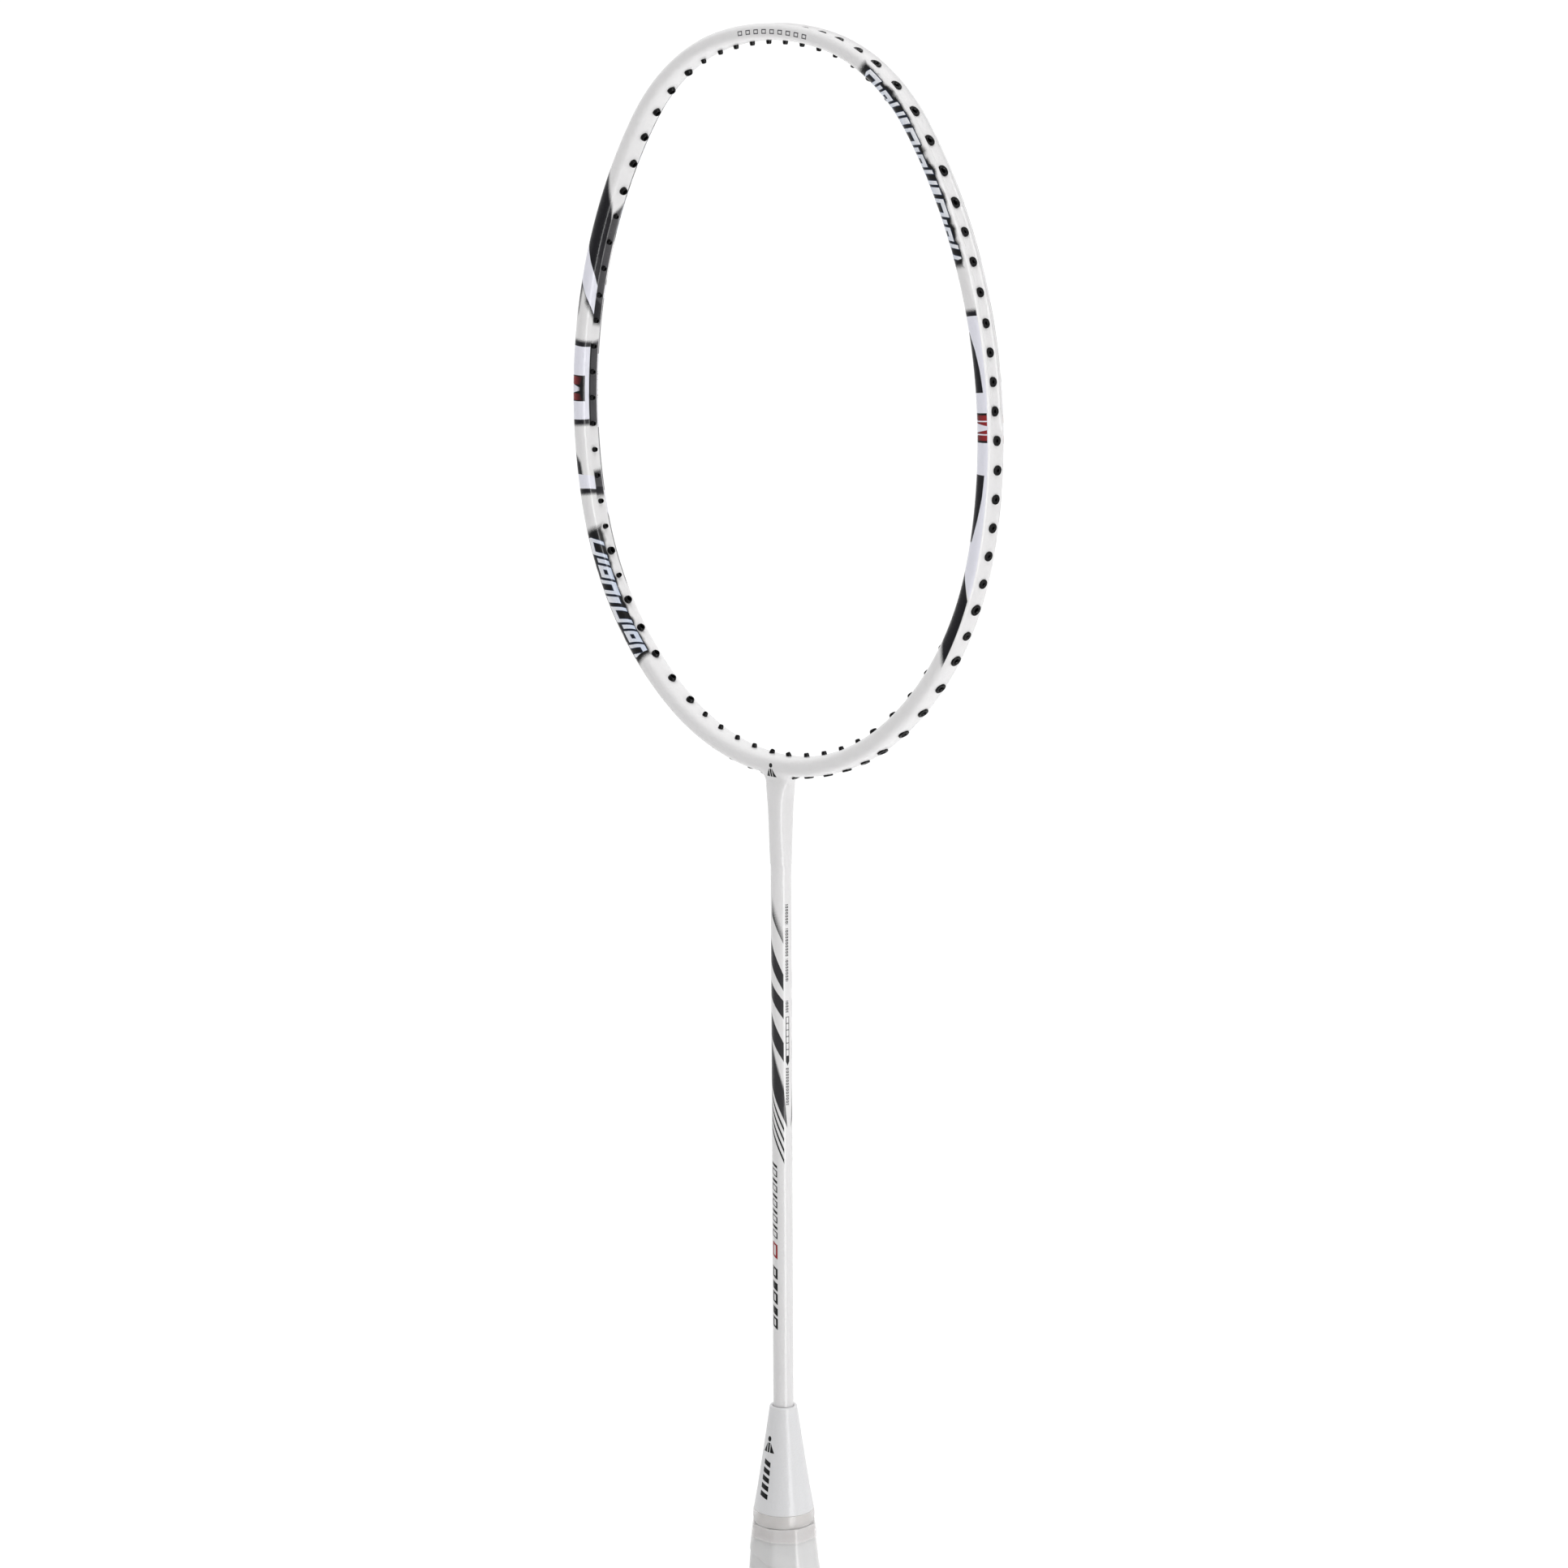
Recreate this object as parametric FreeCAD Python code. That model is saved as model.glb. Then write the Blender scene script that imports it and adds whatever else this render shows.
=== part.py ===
import FreeCAD, Part
import math
import os

# A badminton racket, unstrung. The strings' plane is XZ, the shaft runs along Z with the head up,
# the front of the racket looks along -Y, and the origin is where the middle of the hand holds it.
# Heights are measured from the butt end. All lengths are in millimetres, and angles in degrees.

VECTOR = FreeCAD.Vector
ALONG_Y = VECTOR(0, 1, 0)
ALONG_Z = VECTOR(0, 0, 1)

# Whole racket
OVERALL_LENGTH = 675.0
HAND_HEIGHT = 80.0
FIT_GAP = 0.03

# Head: radius and turn of each arc of the tube's centreline, from the crown to the throat.
# The last arc's radius follows, because the outline closes on the shaft's axis.
HEAD_ARCS = ((101.5, 13.7), (70.1, 40.4), (167.6, 48.6), (107.1, 42.5))

# Head tube
TUBE_HALF_WIDTH = 3.1
TUBE_HALF_DEPTH = 4.5
TUBE_CORNER = 2.0
CAVITY_INSIDE = 2.2
CAVITY_OUTSIDE = 0.8
CAVITY_HALF_DEPTH = 3.5
CAVITY_CORNER = 1.2
GROOVE_DEPTH = 1.4
GROOVE_HALF_WIDTH = 2.1
GROOVE_CORNER = 0.6
GROOVE_REACH = 182.0

# Grommets: barrel, bore and flange radius, for one string and for a hole that two strings share
SINGLE = (0.85, 0.45, 1.65)
SHARED = (1.35, 0.9, 1.95)
GROMMET_STAND_OUT = 1.7
FLANGE_THICKNESS = 0.55
TIP_TAPER = 0.9
TIP_NARROWING = 0.8

# Where they are, down each side alike: group, how many, the pitch to each from the one before it
# along the centreline, and the size. The last one leans out, clear of the joint's stem.
FIRST_GROMMET = 4.0
GROMMET_RUNS = (
    ("top", 4, 8.1, SINGLE),
    ("top", 1, 9.1, SINGLE),
    ("shoulder", 1, 8.8, SHARED),
    ("shoulder", 5, 11.0, SHARED),
    ("side", 4, 9.85, SINGLE),
    ("side", 9, 9.22, SINGLE),
    ("lower", 1, 9.05, SHARED),
    ("side", 1, 9.45, SINGLE),
    ("lower", 1, 9.6, SHARED),
    ("lower", 4, 11.6, SHARED),
    ("throat", 5, 8.93, SINGLE),
)
THROAT_LEAN = 24.5
HOLE_OVERRUN = 2.0

# Neck moulded under the head: height, half width and half depth of its oval section
NECK_SECTIONS = (
    (426.0, 9.6, 4.3),
    (421.5, 6.5, 4.4),
    (418.0, 5.5, 4.4),
    (414.5, 5.1, 4.35),
    (411.0, 4.65, 4.15),
    (405.0, 4.15, 3.9),
    (400.0, 3.8, 3.7),
    (393.0, 3.5, 3.5),
)

# Joint inside the head and neck
JOINT_STEM_RADIUS = 2.45
JOINT_STEM_BOTTOM = 368.0
JOINT_ARM_LENGTH = 24.0
JOINT_ARM_GAP = 0.05

# Shaft
SHAFT_RADIUS = 3.5
SHAFT_BORE_RADIUS = 2.5
SHAFT_BOTTOM = 62.0
PLUG_LENGTH = 12.0

# Cone between shaft and grip: height and radius of its outside
CONE_OUTSIDE = ((163.0, 10.5), (171.0, 9.1), (182.0, 7.35), (192.5, 5.95), (200.0, 4.75), (200.5, 4.3))
CONE_SEAT_TOP = 186.0
NOSE_TOP_RADIUS = 5.0
NOSE_BASE_RADIUS = 9.2

# Grip: height, width and depth of the eight-sided wrap. The corners' cut is this share of the width.
WRAP_LEVELS = (
    (9.0, 28.6, 26.2),
    (24.0, 27.2, 24.6),
    (128.0, 27.2, 24.8),
    (142.0, 26.0, 24.2),
    (146.0, 25.2, 23.6),
    (150.0, 24.0, 22.9),
    (158.3, 21.4, 20.6),
)
CORNER_SHARE = 0.29
WRAP_THICKNESS = 1.5
COLLAR_RADIUS = 10.8
COLLAR_EDGE = 1.0
TAPE_THICKNESS = 0.25

# Butt
CAP_LEVELS = ((0.0, 26.2, 23.8), (1.6, 28.2, 25.8), (9.0, 28.6, 26.2))
CORE_BOTTOM = 3.0
DISC_RADIUS = 8.5
DISC_THICKNESS = 1.2

# Staple that holds the start of the wrap
STAPLE_HEIGHT = 18.0
STAPLE_WIRE_RADIUS = 0.45
STAPLE_CROWN = 8.0
STAPLE_LEG = 5.0

COLLAR_TOP = CONE_OUTSIDE[0][0]
CONE_TOP = CONE_OUTSIDE[-1][0]
NECK_BOTTOM = NECK_SECTIONS[-1][0]
WRAP_TOP = WRAP_LEVELS[-1][0]


def level(height):
    """Model z of a height above the butt end."""
    return height - HAND_HEIGHT


def head_outline():
    """The right half of the head's centreline, as arcs: begin, centre_x, centre_z, radius, angle, length.

    Angles run from straight up, towards +X."""
    outline = []
    begin = 0.0
    angle = 0.0
    x = 0.0
    z = level(OVERALL_LENGTH) - TUBE_HALF_WIDTH
    arcs = [(radius, math.radians(turn)) for radius, turn in HEAD_ARCS]
    arcs.append((None, math.pi - sum(turn for radius, turn in arcs)))
    for radius, turn in arcs:
        if radius is None:
            radius = x / math.sin(angle)
        centre_x = x - radius * math.sin(angle)
        centre_z = z - radius * math.cos(angle)
        outline.append((begin, centre_x, centre_z, radius, angle, radius * turn))
        begin += radius * turn
        angle += turn
        x = centre_x + radius * math.sin(angle)
        z = centre_z + radius * math.cos(angle)
    return outline


OUTLINE = head_outline()
HALF_LENGTH = OUTLINE[-1][0] + OUTLINE[-1][5]


def outline_place(distance, outward=0.0):
    """Point on the right half, this far from the crown and out from the centreline, and its angle."""
    for begin, centre_x, centre_z, radius, start_angle, length in OUTLINE:
        if distance <= begin + length:
            break
    angle = start_angle + (distance - begin) / radius
    reach = radius + outward
    return VECTOR(centre_x + reach * math.sin(angle), 0, centre_z + reach * math.cos(angle)), angle


def mirrored(shape):
    return shape.mirror(VECTOR(0, 0, 0), VECTOR(1, 0, 0))


def rounded_section(inner, outer, half_depth, corner):
    """Face of a rounded rectangle in XY: X runs outward across the tube and Y through its depth."""
    slack = corner * (1 - math.sqrt(0.5))
    corners = (
        (outer, half_depth, -1, -1),
        (inner, half_depth, 1, -1),
        (inner, -half_depth, 1, 1),
        (outer, -half_depth, -1, 1),
    )
    points = []
    for index, (x, y, toward_x, toward_y) in enumerate(corners):
        beside = VECTOR(x, y + toward_y * corner, 0)
        across = VECTOR(x + toward_x * corner, y, 0)
        middle = VECTOR(x + toward_x * slack, y + toward_y * slack, 0)
        points.append((beside, middle, across) if index % 2 == 0 else (across, middle, beside))
    edges = []
    for index, (first, middle, last) in enumerate(points):
        edges.append(Part.Arc(first, middle, last).toShape())
        edges.append(Part.makeLine(last, points[(index + 1) % 4][0]))
    return Part.Face(Part.Wire(edges))


def swept_half(section, start, end):
    """Solid made by a section swept along the right half of the head, between two distances."""
    pieces = []
    for begin, centre_x, centre_z, radius, start_angle, length in OUTLINE:
        low = max(start, begin)
        high = min(end, begin + length)
        if high <= low:
            continue
        angle = start_angle + (low - begin) / radius
        place = VECTOR(centre_x + radius * math.sin(angle), 0, centre_z + radius * math.cos(angle))
        face = section.copy()
        face.Placement = FreeCAD.Placement(place, FreeCAD.Rotation(ALONG_Y, math.degrees(angle) - 90))
        turn = math.degrees((high - low) / radius)
        pieces.append(face.revolve(VECTOR(centre_x, 0, centre_z), ALONG_Y, turn))
    return pieces[0].fuse(pieces[1:]) if len(pieces) > 1 else pieces[0]


def both_halves(half):
    return half.fuse(mirrored(half)).removeSplitter()


def grommet_places():
    """Each grommet of the right half: group, size, point on the inner face, angle, and seat distance."""
    distance = FIRST_GROMMET - GROMMET_RUNS[0][2]
    places = []
    for group, count, pitch, size in GROMMET_RUNS:
        for step in range(count):
            distance += pitch
            point, angle = outline_place(distance, -TUBE_HALF_WIDTH)
            sunk = GROOVE_DEPTH if distance < GROOVE_REACH else 0.0
            places.append((group, size, point, angle, 2 * TUBE_HALF_WIDTH - sunk))
    lean = math.radians(THROAT_LEAN)
    group, size, point, angle, seat = places[-1]
    places[-1] = (group, size, point, angle - lean, seat / math.cos(lean))
    return places


def on_axis(shape, point, angle):
    """Set a shape made along +Z so that it points outward from this point."""
    placed = shape.copy()
    placed.Placement = FreeCAD.Placement(point, FreeCAD.Rotation(ALONG_Y, math.degrees(angle)))
    return placed


def turned(profile):
    """Solid of revolution about Z from a closed list of (radius, z)."""
    points = [VECTOR(radius, 0, z) for radius, z in profile]
    face = Part.Face(Part.makePolygon(points + points[:1]))
    return face.revolve(VECTOR(0, 0, 0), ALONG_Z, 360)


def make_grommet(size, seat):
    """A flanged barrel along +Z, from inside the tube's inner face at z = 0 to its seat outside."""
    barrel, bore, flange = size
    top = seat + FLANGE_THICKNESS
    return turned([
        (bore, -GROMMET_STAND_OUT),
        (barrel * TIP_NARROWING, -GROMMET_STAND_OUT),
        (barrel, TIP_TAPER - GROMMET_STAND_OUT),
        (barrel, seat),
        (flange, seat),
        (flange * TIP_NARROWING, top),
        (bore, top),
    ])


def make_hole(size, seat):
    """Drill for a grommet's barrel. A seat further out than the tube gets a flat for the flange."""
    barrel, bore, flange = size
    through = seat + 2 * HOLE_OVERRUN
    hole = Part.makeCylinder(barrel + FIT_GAP, through, VECTOR(0, 0, -HOLE_OVERRUN))
    if seat > 2 * TUBE_HALF_WIDTH:
        hole = hole.fuse(Part.makeCylinder(flange + FIT_GAP, through, VECTOR(0, 0, seat)))
    return hole


def make_grommet_groups():
    """Solids of the right half's grommets by group, and the holes for both halves of the tube."""
    groups = {}
    holes = []
    for group, size, point, angle, seat in grommet_places():
        groups.setdefault(group, []).append(on_axis(make_grommet(size, seat), point, angle))
        holes.append(on_axis(make_hole(size, seat), point, angle))
    return groups, holes + [mirrored(hole) for hole in holes]


def make_neck():
    """Oval neck lofted from inside the head's tube down to the shaft."""
    rings = []
    for height, half_width, half_depth in NECK_SECTIONS:
        if half_width > half_depth:
            oval = Part.Ellipse(VECTOR(half_width, 0, 0), VECTOR(0, half_depth, 0), VECTOR(0, 0, 0))
        else:
            oval = Part.Circle(VECTOR(0, 0, 0), ALONG_Z, half_width)
        ring = Part.Wire([oval.toShape()])
        ring.translate(VECTOR(0, 0, level(height)))
        rings.append(ring)
    return Part.makeLoft(rings, True, False)


def make_joint():
    """Stem down the shaft with two arms inside the head's tube."""
    arm_section = rounded_section(
        JOINT_ARM_GAP - CAVITY_INSIDE,
        CAVITY_OUTSIDE - JOINT_ARM_GAP,
        CAVITY_HALF_DEPTH - JOINT_ARM_GAP,
        CAVITY_CORNER,
    )
    arm = swept_half(arm_section, HALF_LENGTH - JOINT_ARM_LENGTH, HALF_LENGTH)
    throat, angle = outline_place(HALF_LENGTH)
    stem_length = throat.z - level(JOINT_STEM_BOTTOM)
    stem = Part.makeCylinder(JOINT_STEM_RADIUS, stem_length, VECTOR(0, 0, level(JOINT_STEM_BOTTOM)))
    return both_halves(arm).fuse(stem).removeSplitter(), stem


def make_head_frame(stem, holes):
    """Hollow tube bent to the head's outline, grooved on its outside and drilled, with the neck."""
    tube = rounded_section(-TUBE_HALF_WIDTH, TUBE_HALF_WIDTH, TUBE_HALF_DEPTH, TUBE_CORNER)
    cavity = rounded_section(-CAVITY_INSIDE, CAVITY_OUTSIDE, CAVITY_HALF_DEPTH, CAVITY_CORNER)
    groove = rounded_section(
        TUBE_HALF_WIDTH - GROOVE_DEPTH,
        TUBE_HALF_WIDTH + GROOVE_DEPTH,
        GROOVE_HALF_WIDTH,
        GROOVE_CORNER,
    )
    frame = both_halves(swept_half(tube, 0, HALF_LENGTH)).fuse(make_neck())
    frame = frame.cut(both_halves(swept_half(cavity, 0, HALF_LENGTH)))
    frame = frame.cut(both_halves(swept_half(groove, 0, GROOVE_REACH)))
    return frame.cut(stem).cut(holes)


def make_shaft():
    length = level(NECK_BOTTOM) - level(SHAFT_BOTTOM)
    foot = VECTOR(0, 0, level(SHAFT_BOTTOM))
    bore = Part.makeCylinder(SHAFT_BORE_RADIUS, length, foot)
    return Part.makeCylinder(SHAFT_RADIUS, length, foot).cut(bore)


def make_cone():
    """Cone over the handle's nose, with a lip round the shaft."""
    bore = SHAFT_RADIUS + FIT_GAP
    profile = [(radius, level(height)) for height, radius in CONE_OUTSIDE]
    profile += [
        (bore, level(CONE_TOP)),
        (bore, level(CONE_SEAT_TOP)),
        (NOSE_TOP_RADIUS, level(CONE_SEAT_TOP)),
        (NOSE_BASE_RADIUS, level(COLLAR_TOP)),
    ]
    return turned(profile)


def octagon(height, width, depth):
    """Closed wire of an eight-sided section at a height above the butt."""
    cut = CORNER_SHARE * (width + depth) / 2
    x, y = width / 2, depth / 2
    quarter = ((x, y - cut), (x - cut, y))
    points = []
    for sign_x, sign_y, order in ((1, 1, 1), (-1, 1, -1), (-1, -1, 1), (1, -1, -1)):
        for corner_x, corner_y in quarter[::order]:
            points.append(VECTOR(sign_x * corner_x, sign_y * corner_y, level(height)))
    return Part.makePolygon(points + points[:1])


def octagon_loft(levels, shrink=0.0):
    """Eight-sided solid through levels of (height, width, depth), made smaller all round by shrink."""
    wires = [octagon(height, width - 2 * shrink, depth - 2 * shrink) for height, width, depth in levels]
    return Part.makeLoft(wires, True, True)


def make_handle_core(staple):
    """Wooden handle: eight-sided body, round neck under the collar and a nose inside the cone."""
    body_levels = ((CORE_BOTTOM,) + WRAP_LEVELS[0][1:],) + WRAP_LEVELS
    body = octagon_loft(body_levels, WRAP_THICKNESS)
    nose = turned([
        (0, level(WRAP_TOP)),
        (NOSE_BASE_RADIUS - FIT_GAP, level(WRAP_TOP)),
        (NOSE_BASE_RADIUS - FIT_GAP, level(COLLAR_TOP)),
        (NOSE_TOP_RADIUS - FIT_GAP, level(CONE_SEAT_TOP) - FIT_GAP),
        (0, level(CONE_SEAT_TOP) - FIT_GAP),
    ])
    shaft_hole = Part.makeCylinder(SHAFT_RADIUS + FIT_GAP, OVERALL_LENGTH, VECTOR(0, 0, level(SHAFT_BOTTOM)))
    return body.fuse(nose).cut(shaft_hole).cut(staple)


def make_collar():
    """Soft ring between the cone and the wrap, rounded outside."""
    middle = (WRAP_TOP + COLLAR_TOP) / 2
    return turned([
        (NOSE_BASE_RADIUS, level(WRAP_TOP)),
        (COLLAR_RADIUS - COLLAR_EDGE / 2, level(WRAP_TOP)),
        (COLLAR_RADIUS, level(middle - COLLAR_EDGE)),
        (COLLAR_RADIUS, level(middle + COLLAR_EDGE)),
        (COLLAR_RADIUS - COLLAR_EDGE / 2, level(COLLAR_TOP)),
        (NOSE_BASE_RADIUS, level(COLLAR_TOP)),
    ])


def make_wrap(staple):
    return octagon_loft(WRAP_LEVELS).cut(octagon_loft(WRAP_LEVELS, WRAP_THICKNESS)).cut(staple)


def make_tape():
    """Thin band over the top of the wrap."""
    return octagon_loft(WRAP_LEVELS[-2:], -TAPE_THICKNESS).cut(octagon_loft(WRAP_LEVELS))


def make_butt():
    """Cap that the core stands in, and the disc set flush in its end."""
    socket_levels = ((CORE_BOTTOM,) + WRAP_LEVELS[0][1:], WRAP_LEVELS[0])
    disc = Part.makeCylinder(DISC_RADIUS, DISC_THICKNESS, VECTOR(0, 0, level(0)))
    pocket = Part.makeCylinder(DISC_RADIUS + FIT_GAP, DISC_THICKNESS, VECTOR(0, 0, level(0)))
    cap = octagon_loft(CAP_LEVELS).cut(octagon_loft(socket_levels, WRAP_THICKNESS)).cut(pocket)
    return cap, disc


def make_staple():
    """Wire staple: a crown across the front of the core and two legs into it."""
    crown_y = WRAP_THICKNESS - WRAP_LEVELS[1][2] / 2 - STAPLE_WIRE_RADIUS
    half_crown = STAPLE_CROWN / 2
    start = VECTOR(-half_crown, crown_y, level(STAPLE_HEIGHT))
    pieces = [Part.makeCylinder(STAPLE_WIRE_RADIUS, STAPLE_CROWN, start, VECTOR(1, 0, 0))]
    for x in (-half_crown, half_crown):
        bend = VECTOR(x, crown_y, level(STAPLE_HEIGHT))
        pieces.append(Part.makeSphere(STAPLE_WIRE_RADIUS, bend))
        pieces.append(Part.makeCylinder(STAPLE_WIRE_RADIUS, STAPLE_LEG, bend, ALONG_Y))
    return pieces[0].fuse(pieces[1:])


def make_plug():
    """Stopper in the shaft's lower end."""
    return Part.makeCylinder(SHAFT_BORE_RADIUS - FIT_GAP, PLUG_LENGTH, VECTOR(0, 0, level(SHAFT_BOTTOM)))


def write(node, shape):
    """One STEP file of a node's solids, with a line about them."""
    solids = shape.Solids
    shape = Part.makeCompound(solids) if len(solids) > 1 else solids[0]
    valid = all(solid.isValid() and solid.isClosed() for solid in solids)
    state = "ok" if valid else "BROKEN"
    print("%-28s solids %2d  volume %9.1f  %s" % (node, len(solids), shape.Volume, state))
    shape.exportStep("parts/%s.step" % node)


def main():
    os.makedirs("parts", exist_ok=True)
    groups, holes = make_grommet_groups()
    joint, stem = make_joint()
    staple = make_staple()
    cap, disc = make_butt()
    write("head_frame", make_head_frame(stem, holes))
    write("t_joint", joint.cut(holes))
    write("shaft", make_shaft())
    write("shaft_plug", make_plug())
    write("cone", make_cone())
    write("grip_collar", make_collar())
    write("handle_core", make_handle_core(staple))
    write("grip_wrap", make_wrap(staple))
    write("finishing_tape", make_tape())
    write("grip_staple", staple)
    write("butt_cap", cap)
    write("butt_disc", disc)
    for group, pieces in groups.items():
        write("grommets_%s_right" % group, Part.makeCompound(pieces))
        write("grommets_%s_left" % group, Part.makeCompound([mirrored(piece) for piece in pieces]))
    print("head half length %.2f, closing radius %.2f" % (HALF_LENGTH, OUTLINE[-1][3]))


main()
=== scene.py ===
import math
import bpy
import bmesh
import numpy as np
from mathutils import Matrix, Vector


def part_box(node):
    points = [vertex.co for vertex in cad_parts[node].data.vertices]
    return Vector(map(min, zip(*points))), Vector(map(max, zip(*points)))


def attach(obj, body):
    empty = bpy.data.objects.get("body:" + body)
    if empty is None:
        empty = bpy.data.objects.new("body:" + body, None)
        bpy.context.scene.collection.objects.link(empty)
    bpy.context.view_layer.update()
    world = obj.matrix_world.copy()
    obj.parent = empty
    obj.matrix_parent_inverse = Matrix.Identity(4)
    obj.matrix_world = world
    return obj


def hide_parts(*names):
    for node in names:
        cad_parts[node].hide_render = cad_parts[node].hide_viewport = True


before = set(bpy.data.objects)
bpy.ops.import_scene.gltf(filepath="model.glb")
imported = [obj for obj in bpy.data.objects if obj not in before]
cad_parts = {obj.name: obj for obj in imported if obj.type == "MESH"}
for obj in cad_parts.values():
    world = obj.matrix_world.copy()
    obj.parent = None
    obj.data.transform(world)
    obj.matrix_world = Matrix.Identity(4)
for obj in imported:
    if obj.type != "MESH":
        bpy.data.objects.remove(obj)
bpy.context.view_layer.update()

# Meshes are worked out in millimetres and stored in metres. Heights are measured from the butt end.
MM = 0.001
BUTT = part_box("butt_cap")[0].z / MM
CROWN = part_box("head_frame")[1].z / MM


def level(height):
    """Model z, in millimetres, of a height above the butt end."""
    return BUTT + height


# Head: radius and turn of each arc of the tube's centreline. One more arc closes on the shaft's axis
HEAD_ARCS = ((101.5, 13.7), (70.1, 40.4), (167.6, 48.6), (107.1, 42.5))
TUBE_HALF_WIDTH = 3.1
TUBE_HALF_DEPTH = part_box("head_frame")[1].y / MM
TUBE_CORNER = 2.0
TUBE_SQUARENESS = 2.7
# Distance from the crown and the tube's half width there: slimmer on top and stout at the throat
TUBE_WIDTHS = ((0, 2.86), (40, 2.95), (90, 3.1), (235, 3.1), (270, 3.3), (300, 3.45), (320, 3.4), (360, 3.4))
GROOVE_DEPTH = 1.2
GROOVE_LIP = 2.5
GROOVE_FADE = (170.0, 184.0)

# Grommets: barrel, bore and flange radius
SINGLE = (0.92, 0.45, 1.65)
SHARED = (1.45, 0.8, 1.95)
GROMMET_STAND_OUT = 1.25
FLANGE_THICKNESS = 0.55
FIRST_GROMMET = 4.0
GROMMET_RUNS = (
    ("top", 4, 8.1, SINGLE),
    ("top", 1, 9.1, SINGLE),
    ("shoulder", 1, 8.8, SHARED),
    ("shoulder", 5, 11.0, SHARED),
    ("side", 4, 9.85, SINGLE),
    ("side", 9, 9.22, SINGLE),
    ("lower", 1, 9.05, SHARED),
    ("side", 1, 9.45, SINGLE),
    ("lower", 1, 9.6, SHARED),
    ("lower", 4, 11.6, SHARED),
    ("throat", 5, 8.93, SINGLE),
)
# The last grommet on each side leans this many degrees away from the shaft's axis
THROAT_LEAN = 24.5
PIN_FIT = 0.03

# Neck: height, half width, half depth and squareness of its oval, which dies out inside the tube
NECK_SECTIONS = (
    (385.0, 3.5, 3.5, 2.0),
    (391.0, 3.5, 3.5, 2.2),
    (396.0, 3.45, 3.6, 2.5),
    (402.0, 3.42, 3.7, 2.9),
    (409.0, 3.42, 3.9, 3.2),
    (414.5, 3.75, 4.1, 3.2),
    (418.0, 4.25, 4.2, 3.0),
    (421.5, 5.2, 4.0, 2.5),
    (424.5, 5.9, 3.3, 2.1),
    (428.0, 6.0, 1.4, 2.0),
    (440.0, 6.0, 1.0, 2.0),
)
NECK_STEM_TOP = 416.0
NECK_BLEND = 3.6
NECK_REACH = 17.0
NECK_SINK = 0.02

# Shaft and cone
SHAFT_RADIUS = 3.5
SHAFT_BORE = 2.5
SHAFT_BOTTOM = 62.0
SHAFT_TOP = 393.0
SHAFT_ARC = math.radians(1) * SHAFT_RADIUS
CONE_BASE = 163.0
CONE_TOP = 200.5
CONE_PROFILE = ((CONE_BASE, 10.5), (171.0, 9.1), (182.0, 7.4), (192.5, 5.85), (CONE_TOP, 4.72))
CONE_FIT = 0.04
# Top of the cone's hollow, and its radius there and at its mouth
CONE_HOLLOW = (186.0, 5.0, 9.2)

# Grip: height, width and depth of the eight-sided wrap
WRAP_LEVELS = (
    (9.0, 28.6, 26.2),
    (24.0, 27.2, 24.6),
    (128.0, 27.2, 24.8),
    (142.0, 26.0, 24.2),
    (146.0, 25.2, 23.6),
    (150.0, 24.0, 22.9),
    (158.3, 21.4, 20.6),
)
CORNER_SHARE = 0.29
CORNER_SHARPNESS = 26
BAND_PITCH = 22.0
BAND_STEP = 0.45
TAPE_BOTTOM = 153.6
COLLAR_BOTTOM = 158.35
# Butt cap: height and share of the wrap's lowest ring
CAP_PROFILE = (
    (0.0, 0.6), (0.0, 0.915), (0.25, 0.945), (0.9, 0.972), (1.8, 0.985),
    (3.2, 0.993), (8.4, 1.0), (8.9, 0.99), (9.0, 0.96), (9.0, 0.6),
)


# ---- geometry helpers

def head_outline():
    """Right half of the centreline as arcs: begin, centre x, centre z, radius, angle, length."""
    outline = []
    begin, angle, x, z = 0.0, 0.0, 0.0, CROWN - TUBE_HALF_WIDTH
    arcs = [(radius, math.radians(turn)) for radius, turn in HEAD_ARCS]
    arcs.append((None, math.pi - sum(turn for radius, turn in arcs)))
    for radius, turn in arcs:
        if radius is None:
            radius = x / math.sin(angle)
        centre_x = x - radius * math.sin(angle)
        centre_z = z - radius * math.cos(angle)
        outline.append((begin, centre_x, centre_z, radius, angle, radius * turn))
        begin += radius * turn
        angle += turn
        x = centre_x + radius * math.sin(angle)
        z = centre_z + radius * math.cos(angle)
    return outline


OUTLINE = head_outline()
HALF_LENGTH = OUTLINE[-1][0] + OUTLINE[-1][5]


def along_head(distance):
    """x, z and angle of the centreline at signed distances from the crown, positive on the right."""
    side = np.where(distance < 0, -1.0, 1.0)
    run = np.abs(distance)
    x, z, angle = np.zeros_like(run), np.zeros_like(run), np.zeros_like(run)
    for begin, centre_x, centre_z, radius, start, _ in OUTLINE:
        here = run >= begin
        turned = start + (run - begin) / radius
        x = np.where(here, centre_x + radius * np.sin(turned), x)
        z = np.where(here, centre_z + radius * np.cos(turned), z)
        angle = np.where(here, turned, angle)
    return side * x, z, side * angle


def grid_faces(rows, columns, wrap_rows=False):
    """Quads of a grid of points stored row by row, closed along each row."""
    faces = []
    for row in range(rows if wrap_rows else rows - 1):
        below = ((row + 1) % rows) * columns
        for column in range(columns):
            beside = (column + 1) % columns
            faces.append((row * columns + column, row * columns + beside, below + beside, below + column))
    return faces


def circle(count):
    """Evenly spaced angles of one turn."""
    return np.arange(count) * 2 * math.pi / count


def new_object(name, data):
    """Object that is linked into the scene."""
    thing = bpy.data.objects.new(name, data)
    bpy.context.scene.collection.objects.link(thing)
    return thing


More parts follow.
